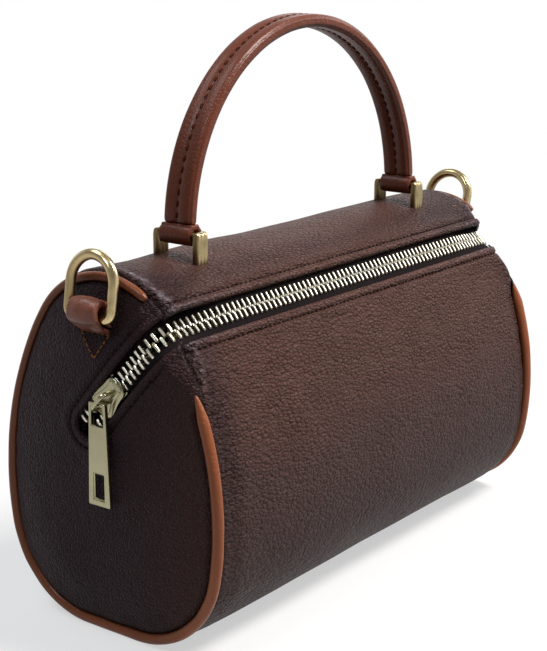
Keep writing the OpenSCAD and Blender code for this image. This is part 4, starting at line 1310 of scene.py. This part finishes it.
def make_zip_stitches():
    body, z, _, rings, o, route = shared()
    from_edge = STITCH_LINE * MM
    x = np.arange(-body.length / 2 + 6 * MM, body.length / 2 - 6 * MM, z.stitch)
    runs = []
    for s in (z.slot / 2 - z.front_lip + from_edge,
              o.girth - z.slot / 2 + z.top_lip - from_edge):
        s = np.full(x.shape, s)
        drop = corner_drop(corner_radius(o, z, s), body.length / 2 - np.abs(x))
        yz, normal = o.at(s, 0.4 * MM + drop)
        runs.append((at_x(x, yz), np.tile([1.0, 0, 0], (len(x), 1)), at_x(0, normal)))
    face = EndFace(body, z, rings, o, route)
    half = face.half + from_edge
    line = np.arange(8 * MM, face.round_at, z.stitch)
    arc = np.arange(math.pi / 2, -math.pi / 2, -z.stitch / half)
    down = np.tile(route.down, (len(line), 1))
    round_end = np.outer(np.cos(arc), route.across) - np.outer(np.sin(arc), route.down)
    for side, seed in END_SEEDS.items():
        for yz, ahead in (
                (face.along_slot(line, half), down), (face.along_slot(line, -half), down),
                (face.along_slot(face.round_at + half * np.cos(arc), half * np.sin(arc)),
                 round_end)):
            q, outward = face.spots(side, yz, seed, 0.1 * MM)
            runs.append((q, at_x(0, ahead), outward))
    sewn("zip_stitches", finish("seam_thread", thread, colours().thread), runs,
         1.8 * MM, 0.4 * MM, 3, 7, "zip_tape", "bag")


# Handle, rings and tabs

def handle_centre(body, h):
    return np.array([0, -h.forward, body.height + h.ring_height - h.bar])


def make_handle():
    body, _, h, _, _, _ = shared()
    k, centre = MM, handle_centre(body, h)
    first = math.asin(LOOP_RADIUS / h.radius) + math.radians(0.1)
    q = stations([first, first + 0.03, math.pi - first - 0.03, math.pi - first],
                 [0.006, 0.022, 0.006])[:, None]
    sides = np.linspace(0.66, -0.66, 5)
    y = np.concatenate([np.linspace(-1, 1, 27), [1.0] * 5, np.linspace(1, -1, 27), [-1.0] * 5])
    r = np.concatenate([[1.0] * 27, sides, [-1.0] * 27, sides[::-1]])
    corner = np.clip((np.abs(y) - 0.78) / 0.22, 0, 1)
    face = np.abs(r) > 0.9
    lobe = np.exp(-((np.abs(y) - 0.5) / 0.26) ** 2)
    groove = np.exp(-(y / 0.13) ** 2)
    rr = np.where(face, r * (0.98 + 0.1 * lobe - 0.2 * groove - 0.42 * corner ** 2), r * 0.8)
    yy = y * np.where(face, 1 - 0.05 * corner, 1.0)
    to_end = np.minimum(q - first, math.pi - first - q) * h.radius
    tight = 1 - 0.35 * rolled_edge(to_end, 2.0 * k) / (2.0 * k)
    bumps = 1 + 0.03 * soft_noise(q * h.radius / (9 * k), y * 2, 101)
    radius = h.radius + rr * h.thickness / 2 * tight * bumps
    rings = np.stack([radius * np.cos(q), yy * h.width / 2 * (0.9 + 0.1 * tight),
                      radius * np.sin(q)], -1) + centre
    # Painted shade darkens the middle groove.
    masks = [(key, np.tile(np.where(face, on_face, on_side), (len(q), 1)))
             for key, on_face, on_side in (("seam", groove * 0.25, 0.0),
                                           ("edge", 0.25 * corner, 0.85))]
    m = finish("handle_leather", leather, colours().handle, 1.1 * k, 0.0001, 0.36, gloss=0.16)
    dressed(tube("handle_leather", rings, False, masks), m, "handle_leather", "handle",
            "handle_cover")
    make_handle_loops(h, centre)


def make_handle_loops(h, centre):
    """The loops on the bars: round below, and drawn in to the strap above."""
    k = MM
    m = finish("loop_leather", leather, colours().handle, 1.1 * k, 0.0001, 0.34)
    q = angles(72)
    off = np.abs((q + math.pi) % (2 * math.pi) - math.pi)
    neck_top, neck_side, bore = 4.0 * k, 2.1 * k, 1.75 * k
    neck = np.minimum(neck_top / np.maximum(np.cos(off), 1e-6),
                      neck_side / np.maximum(np.sin(off), 1e-6))
    reach = np.where(off < math.pi / 2, np.maximum(LOOP_RADIUS, neck), LOOP_RADIUS)
    half = (h.ring_width - 2 * h.post - 1 * k) / 2
    ends = ((half, 0.93), (half - 0.25 * k, 0.97), (half - 0.9 * k, 0.99), (half / 2, 0.995))
    tight = {-d: v for d, v in ends} | {0: 1.0} | {d: v for d, v in ends[::-1]}
    for side, word in SIDES:
        around = np.column_stack([np.sin(q) * side, np.cos(q)])
        at = centre + np.array([side * h.radius, 0, 0])

        def place(xz, d, side=side, at=at):
            grow = np.repeat([tight[d], 1 + 0.2 * (d / half) ** 2], len(xz) // 2)[:, None]
            x, z = (xz * grow).T
            lean = -side * np.maximum(z, 0) ** 2 / (2 * h.radius)
            return np.column_stack([x + lean, np.full(len(x), d), z]) + at

        obj = band(word + "_loop_leather", around * reach[:, None], around * bore, list(tight),
                   place)
        dressed(obj, m, "handle_leather", "handle", word + "_handle_loop")


def make_handle_stitches():
    body, _, h, _, _, _ = shared()
    dark = tuple(q * 0.6 for q in colours().handle)
    first = math.radians(5)
    a = np.arange(first, math.pi - first, h.stitch / h.radius)
    outward = np.column_stack([np.cos(a), 0 * a, np.sin(a)])
    ahead = np.column_stack([-np.sin(a), 0 * a, np.cos(a)])
    runs = [((h.radius + out * h.thickness / 2 * 0.8) * outward + handle_centre(body, h),
             ahead, out * outward) for out in (1, -1)]
    sewn("handle_stitches", finish("handle_thread", thread, dark), runs,
         2.9 * MM, 0.42 * MM, 3, 8, "handle_leather", "handle")


def make_handle_rings():
    body, _, h, _, _, _ = shared()
    k = MM
    m = finish("old_gold", metal, colours().old_gold, 0.2, 0.7)
    top = body.height + h.ring_height
    hx, hy, tip = h.ring_depth / 2, h.post / 2, 0.7 * k
    groove = ((-1.2 * k, 1.0), (-0.95 * k, 0.82), (-0.7 * k, 1.0))
    face = [(-hx, 0.55), (-hx + tip, 1.0), *groove, *((-x, y) for x, y in groove[::-1]),
            (hx - tip, 1.0), (hx, 0.55)]
    loop = np.array([(x, y * hy) for x, y in face] + [(x, -y * hy) for x, y in face[::-1]])
    ys = np.linspace(1.2 * k - h.ring_width / 2, h.ring_width / 2 - 1.2 * k, 15)
    a = angles(20)
    bar = h.bar * np.column_stack([np.cos(a), np.sin(a)])
    foot = rounded_loop(h.ring_depth * 0.3, 0.5 * k, 0.4 * k, 4)

    def leather_top(y):
        return body.height - body.top_radius + math.sqrt(body.top_radius ** 2 - y * y)

    def rod(name, section, x, heights):
        """A bar through the places ys, with its section at these heights."""
        return tube(name, np.stack([
            np.column_stack([x + section[:, 0], np.full(len(section), y - h.forward),
                             height + section[:, 1]]) for y, height in zip(ys, heights)]))

    for side, word in SIDES:
        x, parts = side * h.radius, []
        for end in (-1, 1):
            y0 = end * (h.ring_width / 2 - hy)
            low = leather_top(abs(y0 - h.forward) + hy) - 1.2 * k
            rings = []
            for z0, shrink, shift in ((low, 1, 0), (top - 2.6 * k, 1, 0),
                                      (top - 1.3 * k, 0.96, 0.05), (top - 0.5 * k, 0.86, 0.25),
                                      (top - 0.1 * k, 0.7, 0.5), (top, 0.5, 0.7)):
                p = loop * [shrink if shrink > 0.9 else 0.9 + shrink * 0.1, shrink]
                rings.append(np.column_stack([p + [x, y0 - end * shift * k - h.forward],
                                              np.full(len(p), z0)]))
            # Painted shade: the posts' faces towards the left end, and the whole rear post, are
            # darker.
            dark = np.where(loop[:, 0] < -0.9 * hx, 0.9, 0.0 if end < 0 else 0.5)
            parts.append(tube("post", np.stack(rings), False,
                              (("seam", np.tile(dark, (len(rings), 1))),)))
        parts.append(rod("bar", bar, x, [top - h.bar] * len(ys)))
        parts.append(rod("foot", foot, x, [leather_top(abs(y - h.forward)) - 1.3 * k
                                           for y in ys]))
        obj = joined(word + "_ring", parts)
        bevel(obj, 0.16 * k, 2, 45)
        dressed(obj, m, "antique_gold", "bag", word + "_handle_ring")


def ring_path(mid, leg, corner):
    """Closed path of a strap ring in its own plane, as (y, z)."""
    turn_part = np.linspace(0.2, math.pi / 2, 6)
    side = [(mid - corner + corner * math.sin(q), corner - corner * math.cos(q))
            for q in turn_part]
    side += [(mid, z) for z in np.linspace(corner + 1.2 * MM, leg, 6)]
    arch = [(mid * math.cos(q), leg + mid * math.sin(q))
            for q in np.linspace(0, math.pi, 40)[1:-1]]
    bar = [(y, 0.0) for y in np.linspace(-mid + corner, mid - corner, 12)]
    return np.array(bar + side + arch + [(-y, z) for y, z in side[::-1]])


def make_strap_rings():
    body, _, _, r, _, _ = shared()
    # Painted light: a lighter copy of the old gold that the handle rings use.
    m = finish("lit_ring_gold", metal, tint(colours().old_gold, 1.3)[:3], 0.17, 0.55)
    half = r.wire / 2
    mid = r.width / 2 - half
    a = angles(24) + math.pi / 24
    around = np.column_stack([np.cos(a), np.sin(a)])
    spread = np.abs(around)
    bulk = np.minimum((spread ** 3.2).sum(1) ** (-1 / 3.2), 1.36 / spread.sum(1))
    path = ring_path(mid, r.height - mid, 2.6 * MM)
    ahead = unit(np.roll(path, -1, 0) - np.roll(path, 1, 0))
    outward = np.column_stack([ahead[:, 1], -ahead[:, 0]])
    bevelled = ramp(path[:, 1], 0.3, 3)[:, None, None]
    section = half * around * (1 + (bulk[:, None] - 1) * bevelled)
    rings = at_x(section[..., 0], path[:, None] + outward[:, None] * section[..., 1, None])
    # Patina and painted shade on the ring's inner side
    grime_and_shade = np.clip(-section[..., 1] / half, 0, 1) ** 1.5 * 0.75
    # Painted shade on the rear leg
    grime_and_shade = np.maximum(grime_and_shade, 0.45 * smooth(path[:, 0], 0, mid)[:, None])
    for (side, word), lean in zip(SIDES, (r.left_lean, -r.right_lean)):
        # The edge mask paints highlights where the ring is not shaded.
        obj = tube(word + "_strap_ring", rings, True, (("seam", grime_and_shade), ("edge", 0.5 - grime_and_shade / 2)))
        at = Matrix.Translation((side * strap_bar_x(body, r), 0, r.bar_height))
        moved(obj, at @ Matrix.Rotation(-side * lean, 4, "Y"))
        dressed(obj, m, "antique_gold", word + "_d_ring", word + "_d_ring")


def strap_bar_x(body, r):
    """Distance of a strap ring's bar from the middle of the bag."""
    shares, swell = [0.19, 0.38, 0.62, 0.86], [0.36, 0.64, 0.87, 1.0]
    inset = (body.height - r.bar_height) / body.top_radius
    tab_r = r.wire / 2 + 0.3 * MM + r.tab
    return body.length / 2 + body.bulge * float(np.interp(inset, shares, swell)) + 0.3 * MM + tab_r


def curve_through(points, count):
    """Even points on a smooth open curve through the given ones."""
    p = np.concatenate([[2 * points[0] - points[1]], points, [2 * points[-1] - points[-2]]])
    t = np.linspace(0, 1, 24, endpoint=False)[:, None]
    out = [0.5 * (2 * b + (c - a) * t + (2 * a - 5 * b + 4 * c - d) * t * t
                  + (3 * b - a - 3 * c + d) * t ** 3)
           for a, b, c, d in zip(p, p[1:], p[2:], p[3:])]
    out = np.concatenate(out + [p[-2:-1]])
    run = np.concatenate([[0], np.cumsum(np.linalg.norm(np.diff(out, axis=0), axis=1))])
    at = np.linspace(0, run[-1], count)
    return np.column_stack([np.interp(at, run, column) for column in out.T]), at


def make_tabs():
    body, _, _, r, _, _ = shared()
    k = MM
    m = finish("tab_leather", leather, colours().tab, 1.1 * k, 0.00012, 0.33, gloss=0.4)
    path, run = curve_through(TAB_FOLD * k, 64)
    ahead = unit(np.gradient(path, axis=0))
    out = np.column_stack([ahead[:, 1], -ahead[:, 0]])
    u, v = np.meshgrid(run, np.linspace(-1, 1, 33), indexing="ij")
    slit, on_bar = fade(u, 3.2), ramp(u, 8, 11)
    puff = (0.5 * (1 - v ** 2) * bell(u, 5.5, 3.2)
            + 1.1 * (1 - 0.45 * v ** 2) * on_bar
            * (1 - smooth(u, run[-1] - 8 * k, run[-1] - 3 * k))) * k
    edge_in = rolled_edge((1 - np.abs(v)) * r.tab_width / 2, 0.9 * k) * 0.75
    # Grime and painted shade at the slit; scuffing with painted highlights at the edges and over
    # the bar
    rub_and_highlight = 0.8 * np.exp(-((1 - np.abs(v)) / 0.08) ** 2) + 0.3 * bell(u, 8, 2.5)
    masks = (("seam", np.clip(slit * 1.2, 0, 1)), ("edge", np.clip(rub_and_highlight, 0, 1)))
    width = r.tab_width / 2 * (0.87 - 0.08 * slit) * v
    for (side, word), seed in zip(SIDES, (111, 121)):
        crease = (soft_noise(v * 3.3 + 7, u / (9 * k), seed) * slit * 0.55
                  + soft_noise(v * 2.2 + u / (6 * k), u / (2.9 * k), seed + 1)
                  * 0.36 * (1 - 0.4 * on_bar)) * k
        rise = np.maximum(crease + puff, -0.1 * k * on_bar) - edge_in
        grids = [np.stack([side * (strap_bar_x(body, r) + path[:, 0, None]
                                   + out[:, 0, None] * lift), width,
                           r.bar_height + path[:, 1, None] + out[:, 1, None] * lift], -1)
                 for lift in (r.tab / 2 + rise,
                              0.3 * (edge_in + np.maximum(crease, 0)) - r.tab / 2)]
        dressed(shell(word + "_tab_leather", *grids, masks), m, "tab_leather", "bag",
                word + "_d_ring_tab")


def make_tab_stitches():
    body, z, _, r, o, route = shared()
    face = EndFace(body, z, r, o, route)
    low, half = face.slit_z - 2.0 * MM, r.tab_width / 2 - 1.2 * MM
    left, right, point = np.array([(-half, low), (half, low), (0.0, low - 9.2 * MM)])
    runs = []
    for side, seed in END_SEEDS.items():
        for a, b in ((left, point), (point, right), (left, right)):
            count = max(3, round(np.linalg.norm(b - a) / (2.2 * MM)))
            yz = a + ((np.arange(count) + 0.5) / count)[:, None] * (b - a)
            q, outward = face.spots(side, yz, seed, 0.12 * MM)
            runs.append((q, np.tile([0, *unit(b - a)], (count, 1)), outward))
    sewn("tab_stitches", finish("tab_thread", thread, colours().tab_thread), runs,
         1.8 * MM, 0.32 * MM, 4, 9, "tab_leather", "bag")


def finish_inner_parts():
    """Materials for the frame's own nodes that stay: stops, plates, screws, board and core."""
    steel = finish("plain_steel", metal, (0.62, 0.62, 0.60), 0.35, 0.2)
    board = finish("board_fibre", cloth, (0.42, 0.35, 0.26))
    core = finish("core_cord", cloth, (0.55, 0.50, 0.41))
    for m, names in ((zip_teeth_metal(), ("zip_top_stops", "zip_bottom_stop")),
                     (steel, ("left_ring_plate", "right_ring_plate", "ring_screws")),
                     (board, ("base_board",)), (core, ("handle_core",))):
        for name in names:
            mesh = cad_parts[name].data
            mesh.materials.clear()
            mesh.materials.append(m)


# Stage

def floor_looks(tree):
    """Pale floor that keeps the shadow near the bag and is white further away."""
    away = put(tree, "ShaderNodeVectorMath", {0: object_place(tree)}, operation="LENGTH")
    far = ranged(tree, away.outputs["Value"], 0.16, 0.42, kind="SMOOTHSTEP")
    rays = put(tree, "ShaderNodeLightPath").outputs
    dimmed = maths(tree, "MULTIPLY", rays["Is Glossy Ray"], 0.7)
    seen = maximum(tree, rays["Is Camera Ray"], dimmed, rays["Is Transmission Ray"])
    glow = ranged(tree, far, 0.0, 1.0, 0.56, 1.0)
    return {"Base Color": mixed(tree, far, (0.42, 0.42, 0.42, 1), (0.0, 0.0, 0.0, 1)),
            "Roughness": 0.9, "Specular IOR Level": 0.0, "Emission Color": (1, 1, 1, 1),
            "Emission Strength": maths(tree, "MULTIPLY", seen, glow)}


def aimed(obj, place, ahead):
    obj.location = place
    obj.rotation_euler = Vector(ahead).to_track_quat("-Z", "Y").to_euler()


LIGHTS = (  # name, place, aim, width, height, power and colour
    ("key", (0.42, -0.72, 1.3), (0, 0, 0.1), 0.45, 0.45, 25, (1.0, 0.96, 0.92)),
    ("side", (0.95, -0.45, 0.62), (0, 0, 0.12), 0.6, 0.3, 2.4, (0.97, 0.98, 1.0)),
    ("back", (0.95, 0.4, 0.65), (0, 0, 0.12), 0.6, 0.3, 0.8, (0.97, 0.98, 1.0)),
    ("top", (-0.25, 0.6, 1.2), (0, 0, 0.1), 0.6, 0.4, 3, (0.94, 0.97, 1.0)),
    ("window", (-0.55, 0.0, 0.8), (-0.1, 0, 0.12), 0.25, 0.25, 1.7, (0.82, 0.9, 1.0)),
)


def area_light(name, place, aim, width, height, power, tone):
    lamp = bpy.data.lights.new(name, "AREA")
    lamp.shape, lamp.size, lamp.size_y = "RECTANGLE", width, height
    lamp.energy, lamp.color = power, tone
    aimed(linked(name, lamp), place, Vector(aim) - Vector(place))


def studio_world():
    """White where the camera sees it, with a darker sky above and to the left in reflections."""
    world = bpy.data.worlds.new("studio")
    world.use_nodes = True
    tree = world.node_tree
    rays = put(tree, "ShaderNodeLightPath").outputs
    seen = maximum(tree, rays["Is Camera Ray"], rays["Is Glossy Ray"],
                   rays["Is Transmission Ray"])
    way = put(tree, "ShaderNodeSeparateXYZ", {0: object_place(tree)}).outputs
    above = ranged(tree, way["Z"], 0.12, 0.6, 1.0, 0.3, "SMOOTHSTEP")
    behind = ranged(tree, way["X"], -0.7, 0.2, 0.3, 1.0, "SMOOTHSTEP")
    sky = maximum(tree, maths(tree, "MULTIPLY", above, behind), rays["Is Camera Ray"])
    level = maths(tree, "MULTIPLY_ADD", maths(tree, "MULTIPLY", seen, sky), 0.88, 0.12)
    feed(tree, tree.nodes["Background"], {"Color": (1, 1, 1, 1), "Strength": level})
    return world


def make_stage():
    scene = bpy.context.scene
    scene.view_settings.view_transform = "Standard"
    mesh = bpy.data.meshes.new("floor")
    reach, below = 6.0, -0.0002
    mesh.from_pydata([(x * reach, y * reach, below)
                      for x, y in ((-1, -1), (1, -1), (1, 1), (-1, 1))], [], [(0, 1, 2, 3)])
    floor = linked("floor", mesh)
    mesh.materials.append(finish("floor", floor_looks))
    scene.world = studio_world()
    for light in LIGHTS:
        area_light(*light)
    cam = bpy.data.cameras.new("camera")
    cam.sensor_width, cam.lens, cam.clip_start = 36.0, 82.94, 0.01
    scene.camera = linked("camera", cam)
    yaw, pitch = math.radians(52.73), math.radians(-14.37)
    aimed(scene.camera, (-0.4780, -0.3537, 0.2461),
          (math.sin(yaw) * math.cos(pitch), math.cos(yaw) * math.cos(pitch), math.sin(pitch)))


# Operators, panel and registration

class BAG_OT_body_leather(bpy.types.Operator):
    """Makes the leather that wraps the body"""

    bl_idname = "bag.body_leather"
    bl_label = "Body leather"

    def execute(self, context):
        make_body_leather()
        return {"FINISHED"}


class BAG_OT_end_leathers(bpy.types.Operator):
    """Makes the two swollen end leathers"""

    bl_idname = "bag.end_leathers"
    bl_label = "End leathers"

    def execute(self, context):
        make_end_leathers()
        return {"FINISHED"}


class BAG_OT_piping(bpy.types.Operator):
    """Makes the piping in both end seams"""

    bl_idname = "bag.piping"
    bl_label = "Piping"

    def execute(self, context):
        make_piping()
        return {"FINISHED"}


class BAG_OT_lining(bpy.types.Operator):
    """Makes the lining inside the body"""

    bl_idname = "bag.lining"
    bl_label = "Lining"

    def execute(self, context):
        make_lining()
        return {"FINISHED"}


class BAG_OT_zip(bpy.types.Operator):
    """Makes the zip's tapes and its interlocking teeth"""

    bl_idname = "bag.zip"
    bl_label = "Zip"

    def execute(self, context):
        make_tapes()
        make_teeth()
        return {"FINISHED"}


class BAG_OT_slider(bpy.types.Operator):
    """Makes the slider with its bail, and the pull"""

    bl_idname = "bag.slider"
    bl_label = "Slider and pull"

    def execute(self, context):
        make_slider()
        make_pull()
        return {"FINISHED"}


class BAG_OT_handle(bpy.types.Operator):
    """Makes the handle and its two loops"""

    bl_idname = "bag.handle"
    bl_label = "Handle"

    def execute(self, context):
        make_handle()
        return {"FINISHED"}


class BAG_OT_handle_rings(bpy.types.Operator):
    """Makes the two rings that carry the handle"""

    bl_idname = "bag.handle_rings"
    bl_label = "Handle rings"

    def execute(self, context):
        make_handle_rings()
        return {"FINISHED"}


class BAG_OT_strap_rings(bpy.types.Operator):
    """Makes the strap rings and the tabs that hold them"""

    bl_idname = "bag.strap_rings"
    bl_label = "Strap rings and tabs"

    def execute(self, context):
        make_strap_rings()
        make_tabs()
        return {"FINISHED"}


class BAG_OT_stitches(bpy.types.Operator):
    """Makes the stitches beside the zip, on the handle and on the ends"""

    bl_idname = "bag.stitches"
    bl_label = "Stitches"

    def execute(self, context):
        make_zip_stitches()
        make_handle_stitches()
        make_tab_stitches()
        return {"FINISHED"}


class BAG_OT_inner_parts(bpy.types.Operator):
    """Finishes the stops, plates, screws, board and core"""

    bl_idname = "bag.inner_parts"
    bl_label = "Inner parts"

    def execute(self, context):
        finish_inner_parts()
        return {"FINISHED"}


class BAG_OT_stage(bpy.types.Operator):
    """Makes the floor, the lights and the camera"""

    bl_idname = "bag.stage"
    bl_label = "Stage"

    def execute(self, context):
        make_stage()
        return {"FINISHED"}


STEPS = (BAG_OT_stage, BAG_OT_body_leather, BAG_OT_end_leathers, BAG_OT_piping, BAG_OT_lining,
         BAG_OT_zip, BAG_OT_slider, BAG_OT_handle, BAG_OT_handle_rings, BAG_OT_strap_rings,
         BAG_OT_stitches, BAG_OT_inner_parts)
GROUPS = (("bag_body", BagBodySizes), ("bag_zip", BagZipSizes), ("bag_handle", BagHandleSizes),
          ("bag_rings", BagRingSizes), ("bag_colours", BagColours))


class BAG_PT_panel(bpy.types.Panel):
    """Sizes and colours of the bag, and the steps that make it"""

    bl_idname = "BAG_PT_panel"
    bl_label = "Barrel bag"
    bl_space_type = "VIEW_3D"
    bl_region_type = "UI"
    bl_category = "Bag"

    def draw(self, context):
        for key, kind in GROUPS:
            box = self.layout.box()
            for name in kind.__annotations__:
                box.prop(getattr(context.scene, key), name)
        for step in STEPS:
            self.layout.operator(step.bl_idname)


CLASSES = tuple(kind for _, kind in GROUPS) + STEPS + (BAG_PT_panel,)


def register():
    for c in CLASSES:
        bpy.utils.register_class(c)
    for key, kind in GROUPS:
        setattr(bpy.types.Scene, key, PointerProperty(type=kind))


def unregister():
    for key, _ in GROUPS:
        delattr(bpy.types.Scene, key)
    for c in reversed(CLASSES):
        bpy.utils.unregister_class(c)


def main():
    register()
    for step in STEPS:
        group_name, call = step.bl_idname.split(".")
        getattr(getattr(bpy.ops, group_name), call)()


if __name__ == "__main__":
    main()
